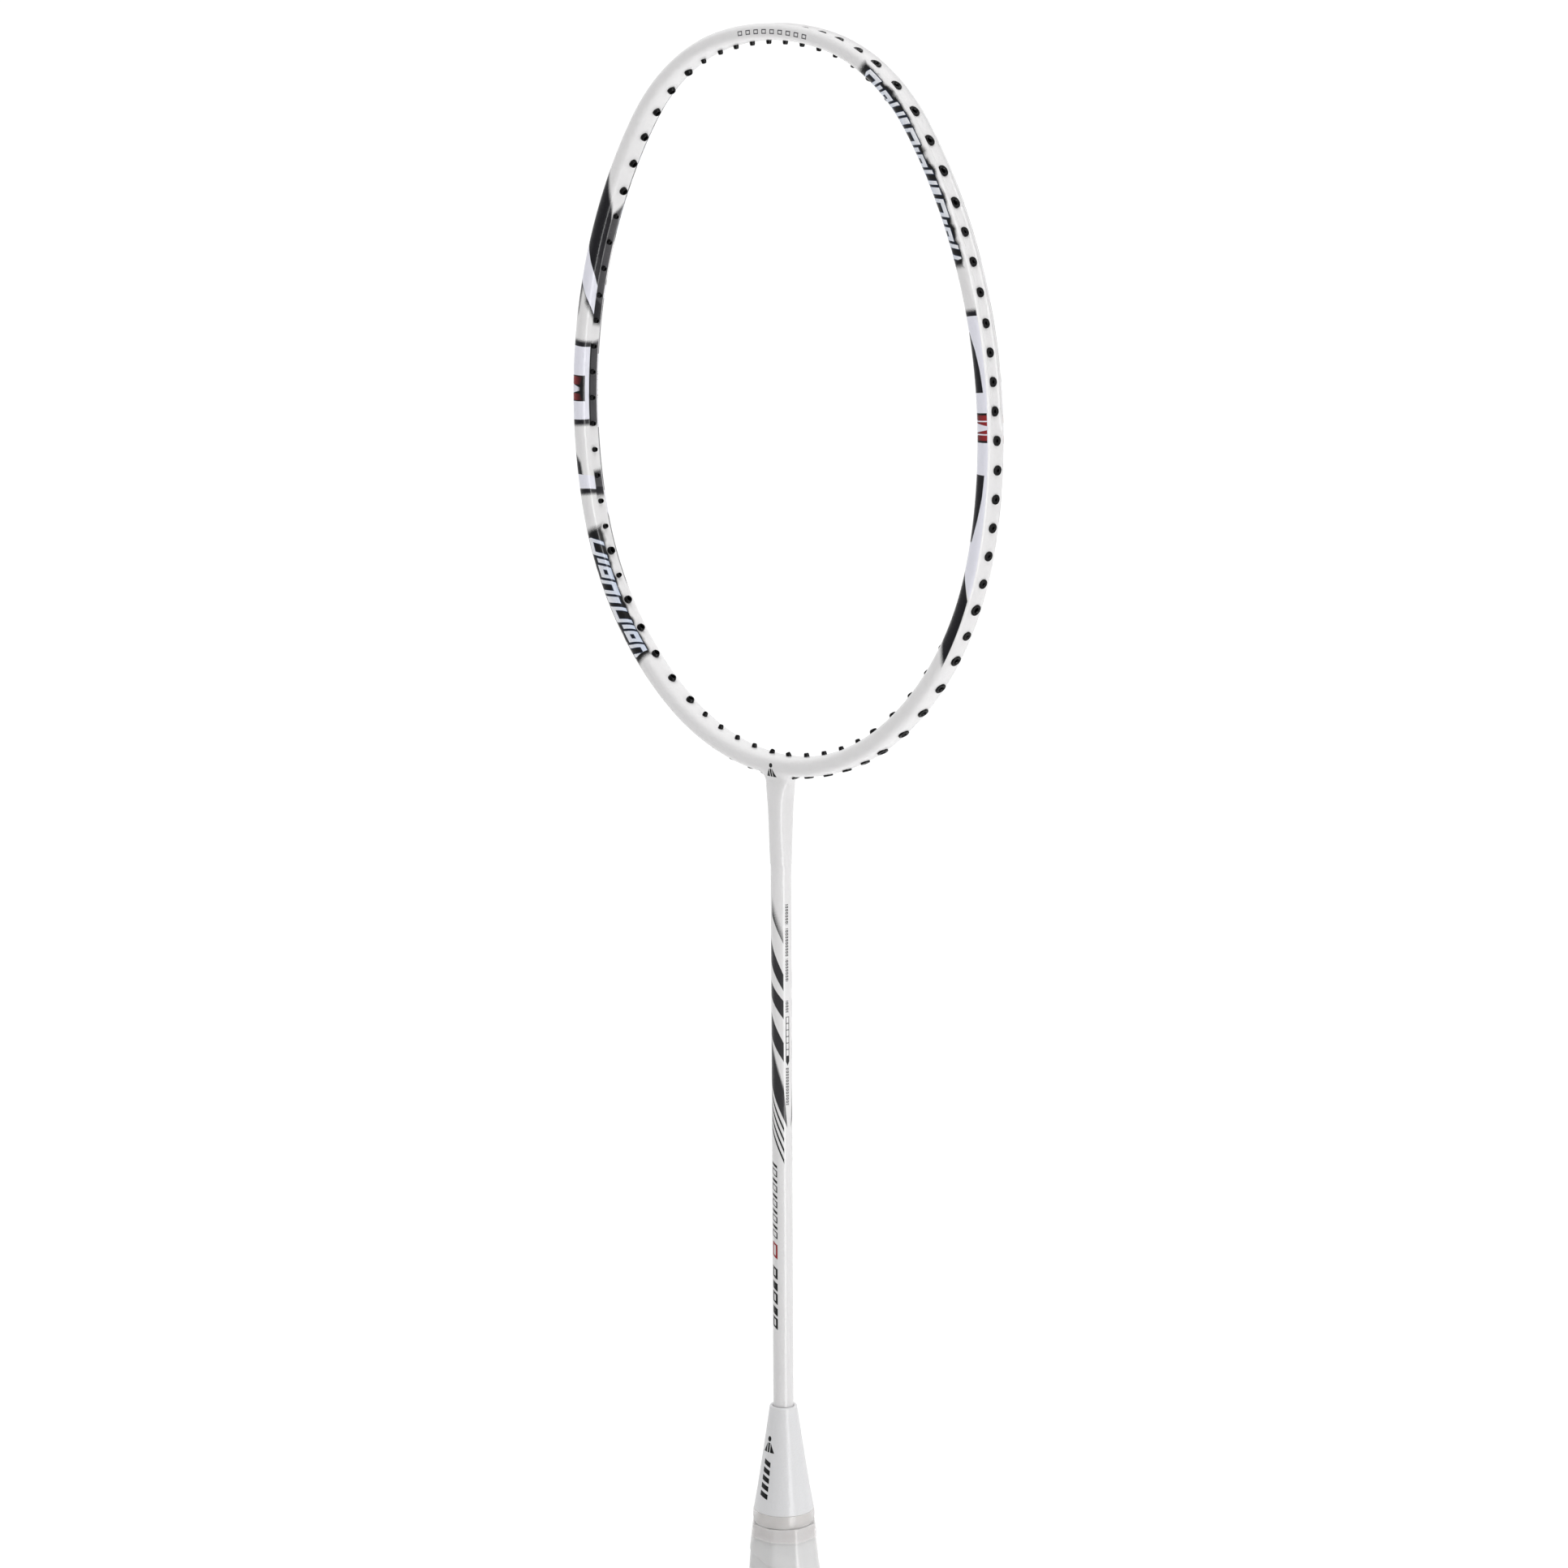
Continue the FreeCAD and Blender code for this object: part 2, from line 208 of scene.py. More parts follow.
def make_mesh(name, points, faces):
    """Smooth-shaded mesh from points in millimetres, with doubled points merged and normals outward."""
    mesh = bpy.data.meshes.new(name)
    mesh.from_pydata([tuple(p) for p in points * MM], [], faces)
    work = bmesh.new()
    work.from_mesh(mesh)
    bmesh.ops.remove_doubles(work, verts=work.verts, dist=1e-3 * MM)
    bmesh.ops.dissolve_degenerate(work, edges=work.edges, dist=1e-3 * MM)
    bmesh.ops.recalc_face_normals(work, faces=work.faces)
    work.to_mesh(mesh)
    work.free()
    mesh.shade_smooth()
    mesh.set_sharp_from_angle(angle=math.radians(50))
    return mesh


def make_piece(name, mesh, material, node):
    """Object that rides on the racket and stands for this CAD node."""
    piece = new_object(name, mesh)
    mesh.materials.append(material)
    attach(piece, "root")
    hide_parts(node)


def rounded(corners, steps=4):
    """Closed outline from corners (x, y, rounding): each corner becomes a short curve."""
    points = []
    count = len(corners)
    for index, (x, y, rounding) in enumerate(corners):
        here = Vector((x, y))
        before = Vector(corners[index - 1][:2]) - here
        after = Vector(corners[(index + 1) % count][:2]) - here
        if rounding <= 0:
            points.append(tuple(here))
            continue
        start = here + before.normalized() * min(rounding, before.length * 0.49)
        end = here + after.normalized() * min(rounding, after.length * 0.49)
        for step in range(steps + 1):
            share = step / steps
            points.append(tuple(start * (1 - share) ** 2 + here * 2 * share * (1 - share) + end * share ** 2))
    return points


def supported(outline, margin=0.25):
    """Closed outline with a point near both ends of every long edge, so that flat parts shade flat."""
    points = []
    for index, (x, y) in enumerate(outline):
        next_x, next_y = outline[(index + 1) % len(outline)]
        length = math.hypot(next_x - x, next_y - y)
        points.append((x, y))
        if length > 4 * margin:
            for share in (margin / length, 1 - margin / length):
                points.append((x + (next_x - x) * share, y + (next_y - y) * share))
    return points


def lathe(outline, segments=96):
    """Points and faces of a closed outline of (radius, z) turned about Z."""
    outline = supported(outline)
    points = []
    for radius, z in outline:
        points += [(radius * math.cos(a), radius * math.sin(a), z) for a in circle(segments)]
    return np.array(points), grid_faces(len(outline), segments, wrap_rows=True)


def place_all(parts):
    """Points and faces of several (points, faces, turn, start), turned and moved into place."""
    points, faces, base = [], [], 0
    for part_points, part_faces, turn, start in parts:
        points.append(part_points @ turn.T + start)
        faces += [tuple(index + base for index in face) for face in part_faces]
        base += len(part_points)
    return np.concatenate(points), faces


# ---- material helpers

class Nodes:
    """A node tree, with short names for the nodes it is made of."""

    def __init__(self, tree):
        self.tree = tree

    def feed(self, socket, value):
        if isinstance(value, bpy.types.NodeSocket):
            self.tree.links.new(value, socket)
        else:
            socket.default_value = value

    def node(self, kind, inputs=None, **settings):
        node = self.tree.nodes.new("ShaderNode" + kind)
        for key, value in settings.items():
            setattr(node, key, value)
        for key, value in (inputs or {}).items():
            self.feed(node.inputs[key], value)
        return node

    def calc(self, operation, *values):
        return self.node("Math", dict(enumerate(values)), operation=operation).outputs[0]

    def product(self, *values):
        total = values[0]
        for value in values[1:]:
            total = self.calc("MULTIPLY", total, value)
        return total

    def vector(self, operation, *values):
        outputs = self.node("VectorMath", dict(enumerate(values)), operation=operation).outputs
        return outputs["Value"] if operation in ("DOT_PRODUCT", "DISTANCE") else outputs["Vector"]

    def scaled(self, vector, factor):
        return self.node("VectorMath", {0: vector, 3: factor}, operation="SCALE").outputs[0]

    def ramp(self, value, low, high, bottom=0.0, top=1.0):
        """Smooth step from bottom to top while the value goes from low to high."""
        inputs = dict(enumerate((value, low, high, bottom, top)))
        return self.node("MapRange", inputs, interpolation_type="SMOOTHSTEP").outputs[0]

    def mix(self, factor, first, second):
        return self.node("Mix", {0: factor, 6: first, 7: second}, data_type="RGBA").outputs[2]

    def noise(self, place, scale, detail=2.0, roughness=0.5):
        inputs = {"Vector": place, "Scale": scale, "Detail": detail, "Roughness": roughness}
        return self.node("TexNoise", inputs).outputs["Fac"]

    def position(self):
        """Object position in millimetres."""
        return self.scaled(self.node("TexCoord").outputs["Object"], 1 / MM)

    def bump(self, height, strength, depth):
        """Normal of a relief, with its depth in millimetres."""
        inputs = {"Height": height, "Strength": strength, "Distance": MM * depth}
        return self.node("Bump", inputs).outputs[0]

    def split(self, place):
        """x, y and z of a place."""
        return self.node("SeparateXYZ", {0: place}).outputs[:3]

    def join(self, x, y, z=0.0):
        return self.node("CombineXYZ", {0: x, 1: y, 2: z}).outputs[0]

    def polygon(self, place, corners, soft=0.06, grain=None):
        """1 inside a convex polygon of (x, y), 0 outside. soft is one edge softness or one per edge."""
        turn = sum(ax * by - bx * ay for (ax, ay), (bx, by) in zip(corners, corners[1:] + corners[:1]))
        mask = None
        for index, (ax, ay) in enumerate(corners):
            bx, by = corners[(index + 1) % len(corners)]
            length = math.hypot(bx - ax, by - ay) * math.copysign(1, turn)
            normal = (-(by - ay) / length, (bx - ax) / length, 0)
            inside = self.vector("DOT_PRODUCT", place, normal)
            edge = soft[index] if isinstance(soft, tuple) else soft
            offset = ax * normal[0] + ay * normal[1]
            if grain is not None and edge > 0.3:
                inside = self.calc("MULTIPLY_ADD", grain, edge, inside)
            side = self.ramp(inside, offset - edge, offset + edge)
            mask = side if mask is None else self.calc("MINIMUM", mask, side)
        return mask

    def band(self, value, low, high, soft=0.06):
        """1 while the value is between low and high."""
        begun = self.ramp(value, low - soft, low + soft)
        return self.product(begun, self.ramp(value, high - soft, high + soft, 1.0, 0.0))

    def bands(self, value, spans, soft=0.06):
        total = 0.0
        for low, high in spans:
            total = self.calc("ADD", total, self.band(value, low, high, soft))
        return total


class Recipe(Nodes):
    """One material and its shader."""

    def __init__(self, name):
        self.material = bpy.data.materials.new(name)
        self.material.use_nodes = True
        super().__init__(self.material.node_tree)
        self.shader = self.tree.nodes["Principled BSDF"]

    def surface(self, settings):
        """Set the shader's own sockets, and hand over the material."""
        for name, value in settings.items():
            self.feed(self.shader.inputs[name], value)
        return self.material


# ---- paint

PEARL = (0.81, 0.802, 0.805, 1)
# Pearl darkened as painted shade, laid on the shaft's lower end
PEARL_PAINTED_SHADE = (0.75, 0.742, 0.745, 1)
LILAC = (0.82, 0.82, 0.90, 1)
BLACK = (0.003, 0.003, 0.004, 1)
NAVY = (0.009, 0.008, 0.016, 1)
CHARCOAL = (0.06, 0.058, 0.064, 1)
RED = (0.30, 0.012, 0.016, 1)
DEEP_RED = (0.07, 0.004, 0.006, 1)
BAR_WHITE = (0.87, 0.88, 0.92, 1)
BAR_SHADE = (0.58, 0.64, 0.76, 1)
BAR_EDGE = (0.012, 0.022, 0.05, 1)
# One beat of the bars: begin and end along it, then foot and head of the block and of its slot as shares
BAR_BEAT = 25.6
BAR_RHYTHM = (
    (0.6, 6.8, 0.0, 1.0, -0.3, 0.7),
    (7.8, 9.4, 0.0, 0.72, 0, 0),
    (10.4, 15.0, 0.0, 0.8, 0.3, 0.52),
    (16.0, 21.2, 0.0, 1.0, 0.32, 1.3),
    (22.2, 24.6, 0.2, 1.0, 0, 0),
)
BAR_WALL = 1.35
BAR_LINE = 0.35
TICK_PITCH = 3.75
FLAKE_SCALE = 2.6
FLAKE_TILT = 0.16
COAT_TILT = 0.022


def lacquer(recipe, colour, flake=FLAKE_TILT, roughness=0.36, coat=1.0):
    """Clear-coated pearl paint: small flakes tilt the base and, faintly, the coat."""
    cells = recipe.node("TexVoronoi", {"Vector": recipe.position(), "Scale": FLAKE_SCALE})
    tilt = recipe.vector("SUBTRACT", cells.outputs["Color"], (0.5, 0.5, 0.5))
    normal = recipe.node("NewGeometry").outputs["Normal"]
    tilted = [recipe.vector("NORMALIZE", recipe.vector("ADD", normal, recipe.scaled(tilt, amount)))
              for amount in (flake, COAT_TILT)]
    return recipe.surface({
        "Base Color": colour,
        "Normal": tilted[0],
        "Coat Normal": tilted[1],
        "Roughness": roughness,
        "Specular IOR Level": 0.25,
        "Coat Weight": coat,
        "Coat Roughness": 0.12,
        "Coat IOR": 1.4,
    })


def left_paint(recipe, place, grain, colour):
    """Front of the left half. x is minus the distance from the crown, y runs from inside to outside.

    Each shape has an ink, its corners and its edges' softness; no ink means grainy black.
    """
    edge = 3.2
    seam = -5.7
    deep = -9.6
    shades = [
        (CHARCOAL, [(-106.5, deep), (-110.5, seam), (-151, seam), (-152, deep)], (1.0, 0.3, 1.2, 0.4)),
        (CHARCOAL, [(-158, seam), (-187, seam), (-187.5, deep), (-157, deep)], (0.3, 1.2, 0.4, 1.0)),
        (CHARCOAL, [(-203.5, seam), (-212.5, seam), (-212.5, deep), (-203, deep)], (0.3, 1.2, 0.4, 1.0)),
        (None, [(-93.0, edge), (-135, edge), (-147, seam), (-113, seam), (-108.5, -4.6)],
         (0.3, 0.4, 0.4, 0.4, 0.9)),
        (None, [(-130, edge), (-160, edge), (-160, 1.6), (-147, 0.9), (-139, -2.0)],
         (0.3, 0.3, 0.7, 1.0, 0.5)),
        (None, [(-138, -1.0), (-143.5, -1.6), (-149.5, -5.8), (-150.5, deep), (-145, deep)],
         (0.8, 1.1, 0.9, 0.5, 0.5)),
        (None, [(-156.9, edge), (-160, edge), (-160, seam), (-157.4, seam)], (0.2, 0.2, 0.6, 0.8)),
        (None, [(-184.5, edge), (-187.2, edge), (-187.0, seam), (-184.5, seam)], (0.2, 0.8, 0.8, 0.2)),
        (None, [(-186, edge), (-205.5, edge), (-205.5, -4.4), (-202, -2.0), (-196, -0.3), (-187, 0.4)],
         (0.2, 0.2, 0.8, 0.7, 0.6, 0.5)),
        (None, [(-208, edge), (-211.2, edge), (-211.8, deep), (-209, deep), (-209, seam)],
         (0.2, 0.8, 0.8, 0.5, 0.2)),
        (LILAC, [(-120.6, edge), (-134.0, edge), (-147.6, seam), (-137.4, seam)], 0.06),
        (LILAC, [(-159.3, edge), (-185.0, edge), (-185.0, seam), (-159.3, seam)], 0.06),
        (LILAC, [(-203.6, edge), (-208.6, edge), (-209.9, seam), (-205.2, seam)], 0.06),
        (BLACK, [(-158, seam + 0.2), (-187.3, seam + 0.2), (-187.3, seam - 0.4), (-158, seam - 0.4)], 0.15),
    ]
    colour = fill(recipe, place, grain, colour, shades)
    black_to_red = recipe.mix(recipe.ramp(recipe.split(place)[1], -3.4, 2.6), BLACK, RED)
    window = [
        (BLACK, [(-169.5, -3.6), (-178.6, -3.6), (-178.6, edge), (-169.5, edge)], 0.06),
        (black_to_red, [(-169.9, -2.6), (-172.7, -1.6), (-172.7, edge), (-169.9, edge)], 0.1),
        (black_to_red, [(-175.9, -1.6), (-178.2, -2.6), (-178.2, edge), (-175.9, edge)], 0.1),
        (LILAC, [(-172.1, edge), (-176.3, edge), (-174.9, -1.2), (-173.6, -1.2)], (0.06, 0.1, 0.7, 0.1)),
    ]
    return fill(recipe, place, grain, colour, window)


def right_paint(recipe, place, grain, colour):
    """Front of the right half. x is the distance from the crown, y runs from inside to outside."""
    edge = 2.6
    inside = -3.6
    shades = [
        (LILAC, [(137.8, edge), (229.0, edge), (219.0, inside), (137.2, inside)], (0.08, 0.3, 0.4, 0.1)),
        (None, [(136.0, edge), (138.0, edge), (137.3, inside), (135.4, inside)], (0.2, 0.06, 0.2, 0.9)),
        (None, [(142.0, inside), (142.8, -1.5), (148.5, 0.0), (155, 1.0), (162.1, 1.55), (162.1, inside)],
         (0.3, 0.1, 0.1, 0.1, 0.06, 0.5)),
        (None, [(188.2, inside), (188.2, 1.65), (195.5, 1.3), (203, 0.3), (210.5, -1.0), (210.5, inside)],
         (0.06, 0.1, 0.1, 0.1, 0.4, 0.5)),
        (None, [(218.6, inside), (221.0, -1.8), (229.6, 2.2), (254.2, 2.3), (247.0, -2.3), (244.0, inside)],
         (0.2, 0.1, 0.1, 1.0, 1.0, 0.5)),
    ]
    colour = fill(recipe, place, grain, colour, shades)
    glow = recipe.mix(recipe.ramp(recipe.split(place)[1], -3.0, 2.0), DEEP_RED, RED)
    stripes = []
    for middle, side in ((168.5, 1), (177.9, -1)):
        for ink, near, far in ((BLACK, 0, 0.8), (glow, 0.7, 2.4), (glow, 2.8, 4.1)):
            span = (middle + side * near, middle + side * far)
            taper = 0.8 * side * (near > 2)
            stripes.append((ink, [(span[0], edge - 0.2), (span[1], edge - 0.2),
                                  (span[1] - taper, -1.5), (span[0], inside)], 0.08))
    return fill(recipe, place, grain, colour, stripes)


def fill(recipe, place, grain, colour, shapes):
    """Lay shapes of (ink, corners, softness) over a colour; no ink means grainy black."""
    dark = recipe.mix(recipe.calc("ADD", grain, 0.5), BLACK, NAVY)
    for ink, corners, soft in shapes:
        colour = recipe.mix(recipe.polygon(place, corners, soft, grain), colour, dark if ink is None else ink)
    return colour


def speed_bars(recipe, place, grain, colour, start, end, low, high, slant):
    """Rhythm of slotted blocks and short bars that lean, edged in blue-black over an airbrushed shadow."""
    x, y, _ = recipe.split(place)
    side = math.copysign(1, end - start)
    shade = [(start - 2.0 * side, high + 0.5), (end + 2.0 * side, high + 0.5),
             (end + 1.2 * side, low - 0.8), (start - 3.0 * side, low - 0.8)]
    cloud = recipe.calc("MULTIPLY_ADD", recipe.noise(place, 0.22, 1.0), 3.2, -1.6)
    uneven = recipe.join(x, recipe.calc("ADD", y, cloud))
    colour = recipe.mix(recipe.polygon(uneven, shade, (0.7, 1.2, 0.7, 1.4), grain), colour, BLACK)
    along = recipe.product(x, side)
    leaning = recipe.calc("MULTIPLY_ADD", y, slant, along)
    beat = recipe.calc("MODULO", recipe.calc("SUBTRACT", leaning, abs(start)), BAR_BEAT)
    room = recipe.band(along, abs(start) + 0.5, abs(end) - 0.5, 0.1)
    sheen = recipe.mix(recipe.ramp(y, low, high), BAR_SHADE, BAR_WHITE)
    for first, last, foot, head, slot_foot, slot_head in BAR_RHYTHM:
        layers = [(0, foot, head, -BAR_LINE, BAR_EDGE), (0, foot, head, 0, sheen)]
        if slot_head:
            layers += [(BAR_WALL, slot_foot, slot_head, 0, BAR_EDGE),
                       (BAR_WALL, slot_foot, slot_head, BAR_LINE, BLACK)]
        for wall, bottom, top, inset, ink in layers:
            bottom, top = [low + share * (high - low) for share in (bottom, top)]
            beats = recipe.band(beat, first + wall + inset, last - wall - inset)
            rows = recipe.band(y, max(bottom + inset, low - 0.3), min(top - inset, high + 0.3))
            colour = recipe.mix(recipe.product(beats, rows, room), colour, ink)
    return colour


def links(recipe, along, across, spans, low, high, wall):
    """1 on the walls of a row of slotted blocks."""
    outer = recipe.product(recipe.bands(along, spans), recipe.band(across, low, high))
    slots = [(begin + wall, end - wall) for begin, end in spans]
    rows = recipe.band(across, low + wall, high - wall, 0.04)
    inner = recipe.product(recipe.bands(along, slots, 0.04), rows)
    return recipe.calc("MAXIMUM", recipe.calc("SUBTRACT", outer, inner), 0.0)


def repeated(start, pitch, width, count):
    """Evenly spaced spans."""
    return [(start + pitch * index, start + pitch * index + width) for index in range(count)]


def frame_material():
    """Pearl lacquer with the head's graphics, drawn in the paint plane that the mesh carries."""
    recipe = Recipe("frame_lacquer")
    place = recipe.node("Attribute", attribute_name="paint").outputs["Vector"]
    x, y, _ = recipe.split(place)
    noise = recipe.noise(place, 3.2, 3.0, 0.7)
    grain = recipe.product(recipe.calc("SUBTRACT", noise, 0.5), 2.0)
    colour = left_paint(recipe, place, grain, PEARL)
    colour = speed_bars(recipe, place, grain, colour, -226, -273, -4.6, 1.4, 0.55)
    colour = right_paint(recipe, place, grain, colour)
    colour = speed_bars(recipe, place, grain, colour, 47, 120, -3.3, 1.6, -0.55)
    ticks = links(recipe, x, y, repeated(-14.0, TICK_PITCH, 2.1, 9), -0.85, 0.85, 0.38)
    return lacquer(recipe, throat_mark(recipe, recipe.mix(ticks, colour, CHARCOAL)))


def shuttle_mark(recipe, place, colour, along, across, size):
    """Small plain shuttlecock: a round cork and a slotted skirt that opens away from it."""
    reach = recipe.vector("DISTANCE", place, (along, across, 0))
    cork = recipe.ramp(reach, 0.17 * size - 0.05, 0.17 * size + 0.05, 1.0, 0.0)
    skirt = [(along - 0.24 * size, across - 0.16 * size), (along - 0.24 * size, across + 0.16 * size),
             (along - 0.85 * size, across + 0.5 * size), (along - 0.85 * size, across - 0.5 * size)]
    flared = recipe.polygon(place, skirt, 0.05)
    y = recipe.split(place)[1]
    slots = recipe.bands(y, repeated(across - 0.15 * size, 0.24 * size, 0.06 * size, 2), 0.03)
    shown = recipe.product(flared, recipe.calc("SUBTRACT", 1.0, slots))
    return recipe.mix(recipe.calc("MAXIMUM", cork, shown), colour, BLACK)


def throat_mark(recipe, colour):
    """Shuttlecock in the middle of the throat, on the front and on the back."""
    x, y, z = recipe.split(recipe.position())
    facing = recipe.calc("SIGN", recipe.product(y, -1.0))
    place = recipe.join(z, recipe.product(x, facing))
    return shuttle_mark(recipe, place, colour, level(427.6), -0.1, 4.6)


def neck_material():
    """Plain pearl lacquer with the mark at the throat."""
    recipe = Recipe("neck_lacquer")
    return lacquer(recipe, throat_mark(recipe, PEARL))


def round_axis(recipe):
    """Height above the butt end, angle in degrees from the front towards +X, and x."""
    x, y, z = recipe.split(recipe.position())
    height = recipe.calc("SUBTRACT", z, BUTT)
    angle = recipe.calc("DEGREES", recipe.calc("ARCTAN2", x, recipe.product(y, -1.0)))
    return height, angle, x


def shaft_stripes(recipe, colour, height, x):
    """Airbrushed stripes and fine lines that slant across the front, and the same on the back."""
    sine = recipe.calc("DIVIDE", x, SHAFT_RADIUS)
    limited = recipe.calc("MAXIMUM", recipe.calc("MINIMUM", sine, 1.0), -1.0)
    folded = recipe.calc("DEGREES", recipe.calc("ARCSINE", limited))
    place = recipe.join(height, recipe.product(folded, SHAFT_ARC))
    noise = recipe.noise(place, 3.4, 3.0, 0.7)
    grain = recipe.product(recipe.calc("SUBTRACT", noise, 0.5), 1.6)
    dark = recipe.mix(noise, BLACK, CHARCOAL)
    right = 57 * SHAFT_ARC
    left = -57 * SHAFT_ARC
    tail = -16 * SHAFT_ARC
    stripes = [
        ([(365.9, right), (367.8, right), (380.0, tail), (375.6, tail)], (0.1, 1.4, 0.4, 0.1)),
        ([(355.0, right), (349.3, right), (362.0, left), (371.0, left)], (0.1, 0.08, 0.3, 0.08)),
        ([(345.8, right), (339.4, right), (349.6, left), (354.6, left)], (0.1, 0.08, 0.3, 0.08)),
        ([(331.0, right), (324.4, right), (336.0, left), (345.0, left)], (0.1, 0.08, 0.3, 0.08)),
        ([(315.0, right), (301.0, 76 * SHAFT_ARC), (320.0, left), (338.0, left)], (0.1, 0.08, 0.3, 0.5)),
    ]
    for corners, soft in stripes:
        colour = recipe.mix(recipe.polygon(place, corners, soft, grain), colour, dark)
    for index in range(4):
        top = 301.0 - 3.75 * index
        line = [(top, right), (top - 1.5, right), (top + 15.3, left), (top + 16.8, left)]
        colour = recipe.mix(recipe.polygon(place, line, 0.08), colour, BLACK)
    return colour


def shaft_gauge(recipe, colour, height, across):
    """Rows of fine cells down the side, and a gauge of six boxes with a pointer."""
    low = 69 * SHAFT_ARC
    middle = 80.5 * SHAFT_ARC
    high = 92 * SHAFT_ARC
    lines = ((309.0, 322.4), (341.6, 345.8), (352.5, 360.4), (361.4, 371.0), (372.4, 379.5))
    cell = recipe.calc("MODULO", height, 1.05)
    specks = links(recipe, cell, across, [(0.1, 0.84)], 70 * SHAFT_ARC, 87 * SHAFT_ARC, 0.26)
    colour = recipe.mix(recipe.product(specks, recipe.bands(height, lines)), colour, BLACK)
    boxes = links(recipe, height, across, repeated(326.2, 2.3, 2.5, 6), low, high, 0.25)
    pointer = [(326.3, low), (324.4, low), (322.9, middle), (324.4, high), (326.3, high)]
    arrow = recipe.polygon(recipe.join(height, across), pointer)
    return recipe.mix(arrow, recipe.mix(boxes, colour, BLACK), BLACK)


def shaft_material():
    """Pearl lacquer, darker towards the bottom as painted shade, with slanted stripes, a gauge and a row of
    leaning bars.
    """
    recipe = Recipe("shaft_lacquer")
    height, angle, x = round_axis(recipe)
    # Painted shade: the shaft's pearl darkens from 380 mm down to 190 mm above the butt end
    colour = recipe.mix(recipe.ramp(height, 190.0, 380.0), PEARL_PAINTED_SHADE, PEARL)
    colour = shaft_stripes(recipe, colour, height, x)
    across = recipe.product(angle, SHAFT_ARC)
    colour = shaft_gauge(recipe, colour, height, across)
    leaning = recipe.calc("MULTIPLY_ADD", across, 0.6, height)
    rows = (
        (repeated(261.6, 5.5, 2.4, 5), 0.45, BLACK),
        (repeated(264.9, 5.5, 1.0, 5), 0.6, BLACK),
        (repeated(254.4, 0, 5.2, 1), 0.8, RED),
        (repeated(229.0, 9.0, 3.9, 3), 0.85, BLACK),
        (repeated(233.8, 9.0, 2.8, 2), 1.2, BLACK),
    )
    for spans, wall, ink in rows:
        shown = links(recipe, leaning, across, spans, -25 * SHAFT_ARC, 15 * SHAFT_ARC, wall)
        colour = recipe.mix(shown, colour, ink)
    return lacquer(recipe, colour)


def cone_material():
    """Moulded cone in flake pearl, with a small mark and a row of bars on its front."""
    recipe = Recipe("cone_pearl")
    height, angle, _ = round_axis(recipe)
    y = recipe.product(angle, 0.13)
    colour = shuttle_mark(recipe, recipe.join(height, y), (0.70, 0.70, 0.71, 1), 189.4, -0.5, 5.6)
    leaning = recipe.calc("MULTIPLY_ADD", y, 0.35, height)
    bars = recipe.product(recipe.bands(leaning, repeated(168.6, 2.8, 1.8, 5)), recipe.band(y, -1.9, 1.1))
    return lacquer(recipe, recipe.mix(bars, colour, BLACK), flake=0.13, roughness=0.28, coat=0.45)


def nylon_material():
    """Black moulded nylon with a slight satin grain."""
    recipe = Recipe("grommet_nylon")
    tone = recipe.noise(recipe.position(), 1.5, 2.0)
    return recipe.surface({
        "Base Color": recipe.mix(tone, (0.002, 0.002, 0.002, 1), (0.006, 0.006, 0.007, 1)),
        "Normal": recipe.bump(recipe.noise(recipe.position(), 9.0), 0.12, 0.1),
        "Roughness": 0.24,
        "Specular IOR Level": 0.28,
    })


def wrap_material():
    """White polyurethane band: fine leathery grain, slight tone changes and soft sheen."""
    recipe = Recipe("grip_wrap")
    place = recipe.position()
    tone = recipe.noise(place, 0.12, 3.0, 0.6)
    cells = recipe.node("TexVoronoi", {"Vector": place, "Scale": 1.6}).outputs["Distance"]
    fine = recipe.calc("ADD", recipe.product(cells, 0.5), recipe.noise(place, 5.0, 4.0, 0.6))
    return recipe.surface({
        "Base Color": recipe.mix(tone, (0.62, 0.617, 0.615, 1), (0.69, 0.69, 0.69, 1)),
        "Normal": recipe.bump(fine, 0.25, 0.08),
        "Roughness": 0.34,
        "Sheen Weight": 0.1,
        "Coat Weight": 0.6,
        "Coat Roughness": 0.18,
    })


def film_material(name, tint, alpha):
    """Thin clear plastic, slightly milky, with small wrinkles."""
    recipe = Recipe(name)
    place = recipe.position()
    cloud = recipe.noise(place, 0.5, 3.0, 0.6)
    return recipe.surface({
        "Base Color": recipe.mix(cloud, tint, (0.86, 0.85, 0.85, 1)),
        "Normal": recipe.bump(recipe.noise(place, 0.9, 2.0), 0.35, 0.3),
        "Roughness": 0.16,
        "Specular IOR Level": 0.9,
        "Alpha": alpha,
    })


def cap_material(name, colour, roughness):
    """Moulded gloss plastic with faint flow marks."""
    recipe = Recipe(name)
    place = recipe.position()
    tone = recipe.noise(place, 0.2, 3.0)
    darker = tuple(0.93 * c for c in colour[:3]) + (1,)
    return recipe.surface({
        "Base Color": recipe.mix(tone, darker, colour),
        "Normal": recipe.bump(recipe.noise(place, 2.5, 3.0), 0.1, 0.1),
        "Roughness": roughness,
    })


def wood_material():
    """Plain maple with long grain along the handle."""
    recipe = Recipe("handle_wood")
    inputs = {"Vector": recipe.position(), "Scale": (1.0, 1.0, 0.06)}
    rings = recipe.noise(recipe.node("Mapping", inputs).outputs[0], 0.8, 5.0, 0.6)
    return recipe.surface({
        "Base Color": recipe.mix(rings, (0.42, 0.27, 0.14, 1), (0.70, 0.52, 0.32, 1)),
        "Roughness": recipe.ramp(rings, 0.3, 0.7, 0.65, 0.45),
    })


